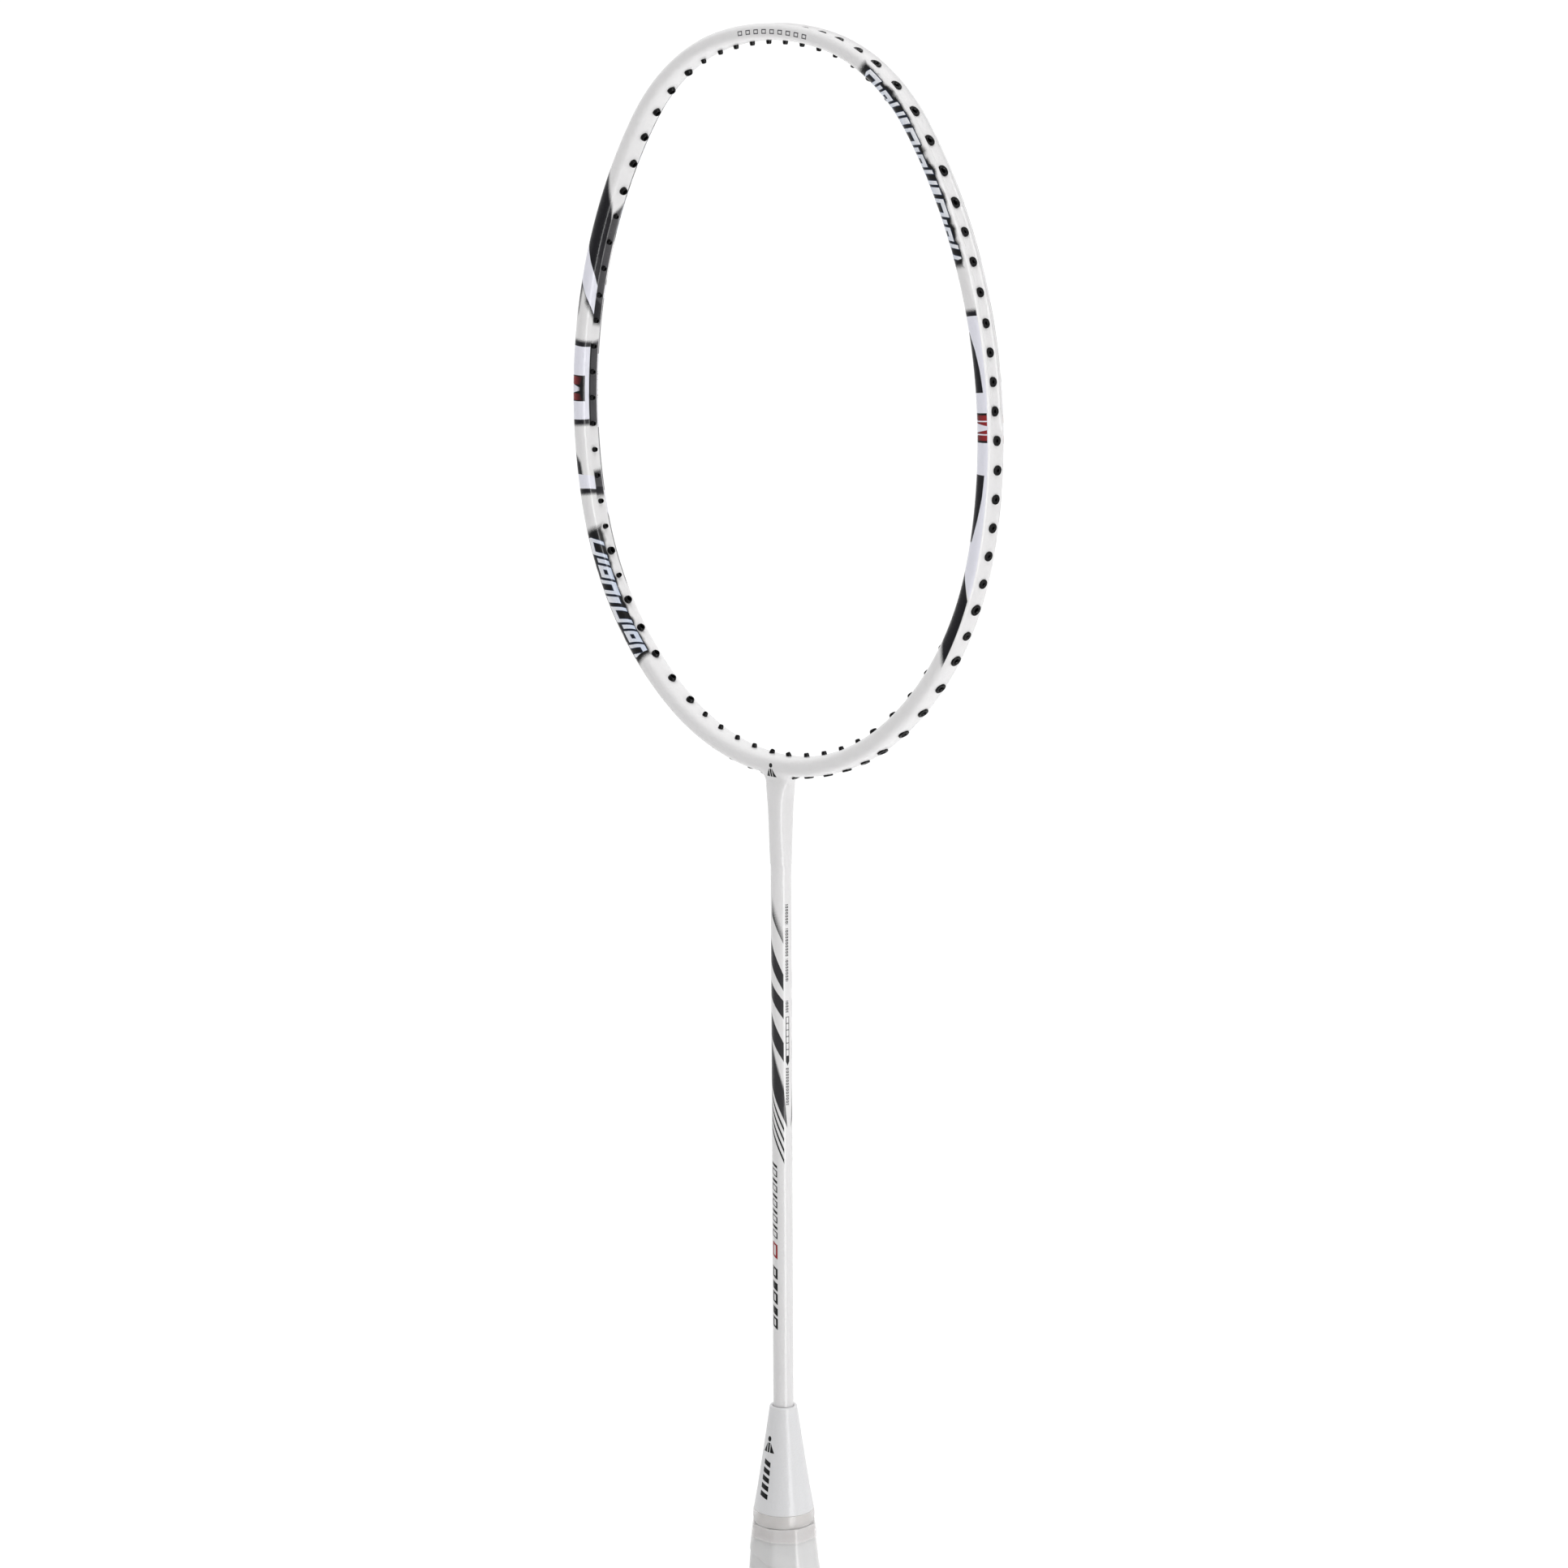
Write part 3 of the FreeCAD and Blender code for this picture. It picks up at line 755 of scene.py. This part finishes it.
def carbon_material():
    """Bare carbon fibre: a fine twill."""
    recipe = Recipe("bare_carbon")
    x, _, z = recipe.split(recipe.position())
    warp = recipe.calc("SINE", recipe.product(recipe.calc("ADD", x, z), 3.0))
    weft = recipe.calc("SINE", recipe.product(recipe.calc("SUBTRACT", z, x), 3.0))
    weave = recipe.ramp(recipe.product(warp, weft), -0.4, 0.4)
    return recipe.surface({
        "Base Color": recipe.mix(weave, (0.01, 0.01, 0.012, 1), (0.05, 0.05, 0.055, 1)),
        "Roughness": 0.4,
    })


def steel_material():
    """Bright staple wire with drawn lines."""
    recipe = Recipe("steel_wire")
    lines = recipe.noise(recipe.position(), 6.0, 3.0)
    return recipe.surface({
        "Base Color": recipe.mix(lines, (0.45, 0.45, 0.46, 1), (0.66, 0.66, 0.67, 1)),
        "Metallic": 1.0,
        "Roughness": 0.3,
    })


# ---- head frame

STATION = 0.9
SIDE_STATION = 0.32
QUARTER = TUBE_HALF_WIDTH + TUBE_HALF_DEPTH + (math.pi / 2 - 2) * TUBE_CORNER
# The front's paint wraps this far round on the left half, counted from the outer middle by way of the
# front. The back carries the same paint turned about the shaft, so on the right half it wraps the rest.
WRAP_LEFT = QUARTER + 9.6
WRAP_RIGHT = 4 * QUARTER - WRAP_LEFT


def section(t):
    """u outward and v backward on the tube's section, t being the way round from the front's middle."""
    t = (t + 2 * QUARTER) % (4 * QUARTER) - 2 * QUARTER
    run = np.minimum(np.abs(t), 2 * QUARTER - np.abs(t))
    flat = TUBE_HALF_WIDTH - TUBE_CORNER
    bend = math.pi / 2 * TUBE_CORNER
    turn = np.clip((run - flat) / TUBE_CORNER, 0, math.pi / 2)
    u = np.minimum(run, flat) + TUBE_CORNER * np.sin(turn)
    v = -(TUBE_HALF_DEPTH - TUBE_CORNER) - TUBE_CORNER * np.cos(turn) + np.maximum(run - flat - bend, 0)
    u = u * np.sign(t)
    v = np.where(np.abs(t) > QUARTER, -v, v)
    squeeze = (np.abs(u / TUBE_HALF_WIDTH) ** TUBE_SQUARENESS
               + np.abs(v / TUBE_HALF_DEPTH) ** TUBE_SQUARENESS) ** (-1 / TUBE_SQUARENESS)
    return u * squeeze / TUBE_HALF_WIDTH, v * squeeze


def half_width(distance):
    """Half width of the tube at distances from the crown."""
    distances, widths = zip(*TUBE_WIDTHS)
    return np.interp(np.abs(distance), distances, widths)


def groove_fade(distance):
    """1 where the string groove is full, 0 past its end."""
    fade = np.clip((GROOVE_FADE[1] - np.abs(distance)) / (GROOVE_FADE[1] - GROOVE_FADE[0]), 0, 1)
    return fade * fade * (3 - 2 * fade)


def on_tube(distance, t):
    """Points of the tube's surface, groove and all, for arrays of distance and t of one shape."""
    u, v = section(t)
    x, z, angle = along_head(distance)
    channel = np.clip(1 - (np.abs(v) / GROOVE_LIP) ** 2.6, 0, 1)
    out = u * half_width(distance) - np.where(u > 0, GROOVE_DEPTH * groove_fade(distance) * channel, 0)
    return np.stack([x + np.sin(angle) * out, v, z + np.cos(angle) * out], -1)


def head_tube():
    """Closed mesh of the whole tube, with the paint plane on its face corners."""
    around = 4 * QUARTER
    lip = np.arange(2.0, 3.2, 0.1)
    places = np.concatenate([np.arange(0, around, SIDE_STATION), lip, around - lip, [WRAP_RIGHT, WRAP_LEFT]])
    places = np.unique(np.round(places, 3))
    half = np.linspace(0, HALF_LENGTH, int(HALF_LENGTH / STATION))
    stations = np.concatenate([-half[:0:-1], half[:-1]])
    along, around_it = np.meshgrid(stations, QUARTER - places, indexing="ij")
    points = on_tube(along, around_it)
    rows, columns = points.shape[:2]
    mesh = bpy.data.meshes.new("head_tube")
    faces = [face[::-1] for face in grid_faces(rows, columns, wrap_rows=True)]
    mesh.from_pydata([tuple(p) for p in points.reshape(-1, 3) * MM], [], faces)
    row = np.repeat(np.arange(rows), columns)
    column = np.tile(np.arange(columns), rows)
    start = stations[row]
    end = np.where(row == rows - 1, HALF_LENGTH, stations[(row + 1) % rows])
    near = places[column]
    far = np.where(column == columns - 1, around, places[(column + 1) % columns])
    front = (near + far) / 2 < np.where(start + end < 0, WRAP_LEFT, WRAP_RIGHT)
    corners = np.zeros((rows * columns, 4, 3), np.float32)
    for index, (s, q) in enumerate(((end, near), (end, far), (start, far), (start, near))):
        corners[:, index, 0] = np.where(front, s, -s)
        corners[:, index, 1] = np.where(front, QUARTER - q, q - 3 * QUARTER)
    paint = mesh.attributes.new("paint", "FLOAT_VECTOR", "CORNER")
    paint.data.foreach_set("vector", corners.reshape(-1))
    return mesh


def drill(mesh, cutters):
    """The mesh with these closed shapes cut out of it."""
    blank = new_object("blank", mesh)
    pins = new_object("cutters", cutters)
    cut = blank.modifiers.new("drill", "BOOLEAN")
    cut.operation = "DIFFERENCE"
    cut.solver = "MANIFOLD"
    cut.object = pins
    graph = bpy.context.evaluated_depsgraph_get()
    drilled = bpy.data.meshes.new_from_object(blank.evaluated_get(graph))
    for data in (mesh, cutters):
        bpy.data.meshes.remove(data)
    drilled.materials.clear()
    drilled.shade_smooth()
    drilled.set_sharp_from_angle(angle=math.radians(40))
    return drilled


def oval_distance(u, v, width, depth, power):
    """Rough distance outside a squared oval of this half width and half depth."""
    ratio = (np.abs(u / width) ** power + np.abs(v / depth) ** power) ** (1 / power)
    return (ratio - 1) * np.hypot(u, v) / np.maximum(ratio, 1e-6)


def tube_distance(points):
    """Rough distance outside the head tube near the throat."""
    centre_x, centre_z, radius = OUTLINE[-1][1:4]
    u = np.hypot(points[:, 0] - centre_x, points[:, 2] - centre_z) - radius
    return oval_distance(u, points[:, 1], TUBE_WIDTHS[-1][1], TUBE_HALF_DEPTH, TUBE_SQUARENESS)


def neck_oval(z):
    """Half width, half depth and squareness of the neck at model heights, eased between its sections."""
    heights, *columns = zip(*NECK_SECTIONS)
    shifts = np.linspace(-2, 2, 9)
    return [sum(np.interp(z - BUTT + shift, heights, column) for shift in shifts) / len(shifts)
            for column in columns]


def neck_distance(points):
    """Rough distance outside the neck."""
    return oval_distance(points[:, 0], points[:, 1], *neck_oval(points[:, 2]))


def throat_distance(points):
    """Both shapes as one, rounded where they meet."""
    tube, stem = tube_distance(points), neck_distance(points)
    overlap = np.maximum(NECK_BLEND - np.abs(tube - stem), 0) / NECK_BLEND
    return np.minimum(tube, stem) - overlap ** 2 * NECK_BLEND / 4


def settle(points, steps=14):
    """Move points onto the throat's surface, a hair below the tube's where the two meet."""
    for _ in range(steps):
        rise = np.clip((points[:, 2] - level(408)) / 8, 0, 1)
        value = throat_distance(points) + NECK_SINK * rise
        slope = np.stack([
            (throat_distance(points + 0.01 * axis) - throat_distance(points - 0.01 * axis)) / 0.02
            for axis in np.eye(3)
        ], -1)
        points = points - slope * (value / np.maximum((slope ** 2).sum(-1), 1e-6))[:, None]
    return points


def neck():
    """Neck that flows from the shaft into the tube, up to an oval footprint round the tube's underside."""
    angle = circle(128)
    stem, sweep = 36, 40
    rows = []
    for height in np.linspace(SHAFT_TOP, NECK_STEM_TOP, stem):
        width, depth, power = neck_oval(level(height))
        swell = (np.abs(np.cos(angle)) ** power + np.abs(np.sin(angle)) ** power) ** (-1 / power)
        x, y = width * swell * np.cos(angle), -depth * swell * np.sin(angle)
        rows.append(np.stack([x, y, np.full_like(x, level(height))], -1))
    base = rows[-1]
    away = NECK_REACH * np.cos(angle)
    distance = np.where(away >= 0, HALF_LENGTH - away, -HALF_LENGTH - away)
    climb = (QUARTER + 1.4) * np.abs(np.sin(angle))
    end = on_tube(distance, QUARTER - climb)
    end[:, 1] *= np.where(np.sin(angle) < 0, -1, 1)
    knee = base + (0, 0, 3.0)
    for share in np.arange(1, sweep + 1) / sweep:
        rows.append(base * (1 - share) ** 2 + knee * 2 * share * (1 - share) + end * share ** 2)
    rows[stem - 5:] = [settle(points) for points in rows[stem - 5:]]
    core = np.stack([away * 0.6, 0 * away, np.full_like(away, OUTLINE[-1][2] - OUTLINE[-1][3])], -1)
    rows.append(rows[-1] + (core - rows[-1]) * 0.02)
    rows.append(rows[-1] + (core - rows[-1]) * 0.3)
    rows.append(np.zeros_like(core) + core.mean(0))
    rows.insert(0, np.zeros_like(core) + (0, 0, level(SHAFT_TOP)))
    return make_mesh("neck", np.concatenate(rows), grid_faces(len(rows), len(angle)))


# ---- grommets

def grommet(size, seat):
    """Flanged barrel along +Z, with z = 0 at the tube's inner face."""
    barrel, bore, flange = size
    top = seat + FLANGE_THICKNESS
    tip = -GROMMET_STAND_OUT
    outline = rounded([
        (bore * 1.2, tip, 0.12),
        (barrel * 0.8, tip, 0.18),
        (barrel, tip + 0.7, 0.3),
        (barrel, seat - 0.3, 0),
        (flange, seat - 0.3, 0),
        (flange, top - 0.1, 0.25),
        (flange * 0.84, top, 0.25),
        (bore * 1.5, top, 0.15),
        (bore, top - 0.4, 0.2),
        (bore, tip + 0.3, 0.15),
    ], steps=3)
    return lathe(outline, segments=28)


def hole_places():
    """Group, size, seat height and pose of every grommet on both halves."""
    places = []
    distance = FIRST_GROMMET - GROMMET_RUNS[0][2]
    total = sum(count for group, count, pitch, size in GROMMET_RUNS)
    done = 0
    for group, count, pitch, size in GROMMET_RUNS:
        for _ in range(count):
            distance += pitch
            done += 1
            lean = math.radians(THROAT_LEAN) if done == total else 0.0
            width = float(half_width(distance))
            seat = (2 * width - GROOVE_DEPTH * float(groove_fade(distance))) / math.cos(lean)
            for side, name in ((1, "right"), (-1, "left")):
                x, z, angle = (float(value) for value in along_head(side * distance))
                start = Vector((x, 0, z)) - Vector((math.sin(angle), 0, math.cos(angle))) * width
                turn = np.array(Matrix.Rotation(angle - side * lean, 3, "Y"))
                places.append(("%s_%s" % (group, name), size, seat, turn, np.array(start)))
    return places


def hole_cutters():
    """One closed mesh with a pin through the tube for every grommet."""
    parts = []
    for _, size, seat, turn, start in hole_places():
        pin = size[0] - PIN_FIT
        outline = [(0, -2.0), (pin, -2.0), (pin, seat + 2.0), (0, seat + 2.0)]
        parts.append(lathe(outline, segments=24) + (turn, start))
    return make_mesh("cutters", *place_all(parts))


def make_grommets(material):
    """One piece for each group and side."""
    groups = {}
    for group, size, seat, turn, start in hole_places():
        groups.setdefault(group, []).append(grommet(size, seat) + (turn, start))
    for group, parts in groups.items():
        node = "grommets_" + group
        make_piece(node + "_moulded", make_mesh(node, *place_all(parts)), material, node)


# ---- shaft, cone, grip

HANDLE_TURN = circle(192)


def make_shaft():
    outline = rounded([
        (SHAFT_RADIUS, level(SHAFT_BOTTOM), 0.2),
        (SHAFT_RADIUS, level(SHAFT_TOP), 0),
        (SHAFT_BORE, level(SHAFT_TOP), 0),
        (SHAFT_BORE, level(SHAFT_BOTTOM), 0.2),
    ])
    mesh = make_mesh("shaft", *lathe(outline, 128))
    make_piece("shaft_tube", mesh, shaft_material(), "shaft")


def make_cone():
    rounding = {CONE_BASE: 0.3, CONE_TOP: 0.5}
    bore = SHAFT_RADIUS + CONE_FIT
    hollow_top, hollow_tip, hollow_mouth = CONE_HOLLOW
    corners = [(radius, level(height), rounding.get(height, 0.0)) for height, radius in CONE_PROFILE]
    corners += [
        (bore + 0.35, level(CONE_TOP), 0.25),
        (bore, level(CONE_TOP - 0.6), 0.3),
        (bore, level(hollow_top), 0.0),
        (hollow_tip, level(hollow_top), 0.0),
        (hollow_mouth, level(CONE_BASE), 0.0),
    ]
    mesh = make_mesh("cone", *lathe(rounded(corners), 160))
    make_piece("cone_cap", mesh, cone_material(), "cone")


def wrap_radius(height, angle, extra=0.0):
    """Distance from the axis to the rounded eight-sided surface, at each angle."""
    heights, widths, depths = zip(*WRAP_LEVELS)
    wide = np.interp(height, heights, widths) / 2 + extra
    deep = np.interp(height, heights, depths) / 2 + extra
    bevel = (wide + deep) * (1 - CORNER_SHARE) / math.sqrt(2)
    total = np.zeros_like(angle)
    for index in range(8):
        reach = (wide, bevel, deep, bevel)[index % 4]
        total += np.maximum(np.cos(angle - index * math.pi / 4) / reach, 0) ** CORNER_SHARPNESS
    return total ** (-1 / CORNER_SHARPNESS)


def ring_mesh(name, rings):
    """Closed mesh through rings of (distances from the axis, height), the last joined to the first."""
    points = []
    for radius, height in rings:
        x, y = radius * np.cos(HANDLE_TURN), radius * np.sin(HANDLE_TURN)
        points.append(np.stack([x, y, np.full_like(x, level(height))], -1))
    faces = grid_faces(len(rings), len(HANDLE_TURN), wrap_rows=True)
    return make_mesh(name, np.concatenate(points), faces)


def sleeve(name, low, high, rows, extra, inner, ridge=None):
    """Closed sleeve over the eight-sided handle, with an optional offset of its outside."""
    rings = []
    for height in np.linspace(low, high, rows):
        offset = ridge(height, HANDLE_TURN) if ridge else 0.0
        rings.append((wrap_radius(height, HANDLE_TURN, extra) + offset, height))
    rings += [(wrap_radius(height, HANDLE_TURN, inner), height) for height in (high, low)]
    return ring_mesh(name, rings)


def band_ridge(height, angle):
    """Surface offset of the spiral band: a step up at each turn's lower edge, easing back over it."""
    low, high = WRAP_LEVELS[0][0], WRAP_LEVELS[-1][0]
    turn = ((height - low) / BAND_PITCH + angle / (2 * math.pi)) % 1.0
    rise = np.clip(turn / 0.018, 0, 1)
    ease = np.clip((turn - 0.05) / 0.22, 0, 1)
    soft = math.sqrt(np.clip(min(height - low, high - height), 0, 1))
    return (BAND_STEP * rise * (1 - ease * ease * (3 - 2 * ease)) - BAND_STEP) * soft - 0.5 * (1 - soft)


def make_grip():
    wrap_top = WRAP_LEVELS[-1][0]
    wrap = sleeve("grip_wrap", WRAP_LEVELS[0][0], wrap_top, 420, 0.0, -1.5, band_ridge)
    make_piece("spiral_wrap", wrap, wrap_material(), "grip_wrap")
    tape = sleeve("finishing_tape", TAPE_BOTTOM, wrap_top, 12, 0.12, 0.02)
    film = film_material("clear_tape", (0.80, 0.76, 0.75, 1), 0.45)
    make_piece("tape_band", tape, film, "finishing_tape")
    collar = rounded([
        (9.25, level(COLLAR_BOTTOM), 0),
        (10.45, level(COLLAR_BOTTOM), 0.3),
        (10.8, level(160.1), 0.8),
        (10.75, level(161.6), 0.8),
        (10.62, level(CONE_BASE), 0.3),
        (9.3, level(CONE_BASE), 0),
    ])
    mesh = make_mesh("collar", *lathe(collar, 160))
    film = film_material("clear_collar", (0.82, 0.80, 0.79, 1), 0.6)
    make_piece("collar_ring", mesh, film, "grip_collar")


def make_butt():
    base = wrap_radius(WRAP_LEVELS[0][0], HANDLE_TURN)
    mesh = ring_mesh("butt_cap", [(base * share, height) for height, share in CAP_PROFILE])
    plastic = cap_material("cap_plastic", (0.80, 0.80, 0.81, 1), 0.25)
    make_piece("butt_cap_moulded", mesh, plastic, "butt_cap")
    disc = rounded([
        (0, level(0.05), 0),
        (7.9, level(0.05), 0.3),
        (8.4, level(0.0), 0.2),
        (8.4, level(1.2), 0),
        (0, level(1.2), 0),
    ])
    mesh = make_mesh("butt_disc", *lathe(disc, 96))
    plastic = cap_material("disc_plastic", (0.03, 0.03, 0.035, 1), 0.2)
    make_piece("butt_disc_moulded", mesh, plastic, "butt_disc")


def finish_hidden_nodes():
    """Materials of the CAD pieces that stay as they are, inside the racket."""
    wood = wood_material()
    materials = {
        "t_joint": carbon_material(),
        "handle_core": wood,
        "shaft_plug": wood,
        "grip_staple": steel_material(),
    }
    for node, material in materials.items():
        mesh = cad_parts[node].data
        mesh.materials.clear()
        mesh.materials.append(material)


# ---- stage, light and camera

CAMERA_AZIMUTH = 45.553
CAMERA_YAW = 45.507
CAMERA_PITCH = 11.047
CAMERA_ROLL = -0.254
CAMERA_DISTANCE = 1461.98
CAMERA_OVER_CROWN = 31.0
CAMERA_LENS = 101.0
# Brightness of the room in front of the racket and behind it, and of the soft sun above
ROOM_FRONT = 0.26
ROOM_BACK = 0.8
SUN_STRENGTH = 2.35
# Panels: angle round the shaft, distance, lower and upper end, width and brightness, in metres
KEY_LIGHT = (105, 1.6, (-0.6, 1.3), 1.2, 0.62)
LOW_FILL = (112, 0.6, (-0.07, 0.16), 0.5, 1.5)
STRIP_LIGHT = (76, 0.7, (-0.5, 1.2), 0.19, 5.2)
FLOOR_REACH = 200.0
FLOOR_GAP = 0.0005


def outward(azimuth):
    """Level direction away from the shaft, in degrees round from the front towards +X."""
    around = math.radians(azimuth)
    return Vector((math.sin(around), -math.cos(around), 0))


def make_camera():
    camera = new_object("camera", bpy.data.cameras.new("camera"))
    bpy.context.scene.camera = camera
    camera.data.lens = CAMERA_LENS
    camera.data.sensor_width = 36.0
    camera.data.clip_end = 500.0
    yaw, pitch = math.radians(CAMERA_YAW), math.radians(CAMERA_PITCH)
    ahead = -outward(CAMERA_YAW) * math.cos(pitch) - Vector((0, 0, math.sin(pitch)))
    right = Vector((math.cos(yaw), math.sin(yaw), 0))
    axes = Matrix((right, right.cross(ahead), -ahead)).transposed().to_4x4()
    above = Vector((0, 0, CROWN + CAMERA_OVER_CROWN))
    place = (outward(CAMERA_AZIMUTH) * CAMERA_DISTANCE + above) * MM
    roll = Matrix.Rotation(math.radians(CAMERA_ROLL), 4, "Z")
    camera.matrix_world = Matrix.Translation(place) @ axes @ roll


def make_area(name, azimuth, distance, span, width, radiance):
    """Upright panel of light at an angle round the shaft, from one height to another."""
    data = bpy.data.lights.new(name, "AREA")
    data.shape = "RECTANGLE"
    data.size = width
    data.size_y = span[1] - span[0]
    data.energy = radiance * math.pi * data.size * data.size_y
    light = new_object(name, data)
    light.location = outward(azimuth) * distance + Vector((0, 0, sum(span) / 2))
    light.rotation_euler = (-outward(azimuth)).to_track_quat("-Z", "Y").to_euler()
    return light


def make_stage():
    """Plain pale floor under the racket."""
    data = bpy.data.meshes.new("floor")
    z = BUTT * MM - FLOOR_GAP
    corners = [(x * FLOOR_REACH, y * FLOOR_REACH, z) for x, y in ((-1, -1), (1, -1), (1, 1), (-1, 1))]
    data.from_pydata(corners, [], [(0, 1, 2, 3)])
    recipe = Recipe("floor")
    paint = {"Base Color": (0.92, 0.92, 0.92, 1), "Roughness": 0.9, "Specular IOR Level": 0.0}
    data.materials.append(recipe.surface(paint))
    floor = new_object("floor", data)
    floor.visible_glossy = False


def studio_world():
    """Pale walls behind the racket and a dimmer room in front of it; the camera sees plain white."""
    world = bpy.data.worlds.new("studio")
    bpy.context.scene.world = world
    world.use_nodes = True
    nodes = Nodes(world.node_tree)
    place = nodes.node("TexCoord").outputs["Generated"]
    facing = nodes.vector("DOT_PRODUCT", place, -outward(CAMERA_AZIMUTH))
    wall = nodes.ramp(facing, -0.2, 0.8, ROOM_FRONT, ROOM_BACK)
    direct = nodes.node("LightPath").outputs["Is Camera Ray"]
    seen = nodes.node("MapRange", {"Value": direct, "To Min": wall, "To Max": 1.0})
    background = nodes.tree.nodes["Background"]
    nodes.feed(background.inputs["Strength"], seen.outputs[0])
    nodes.feed(background.inputs["Color"], (1, 1, 1, 1))


def make_light():
    bpy.context.scene.view_settings.view_transform = "Standard"
    studio_world()
    sun = new_object("overhead", bpy.data.lights.new("overhead", "SUN"))
    sun.data.energy = SUN_STRENGTH
    sun.data.angle = math.radians(60)
    sun.rotation_euler = Vector((-0.12, 0.05, -1.0)).to_track_quat("-Z", "Y").to_euler()
    sun.visible_glossy = False
    make_area("key", *KEY_LIGHT)
    make_area("low_fill", *LOW_FILL).visible_glossy = False
    make_area("strip", *STRIP_LIGHT).visible_diffuse = False


# ---- build

def build():
    head_lacquer = frame_material()
    make_piece("head_tube", drill(head_tube(), hole_cutters()), head_lacquer, "head_frame")
    make_piece("neck_moulding", neck(), neck_material(), "head_frame")
    make_grommets(nylon_material())
    make_shaft()
    make_cone()
    make_grip()
    make_butt()
    finish_hidden_nodes()
    make_stage()
    make_light()
    make_camera()


build()
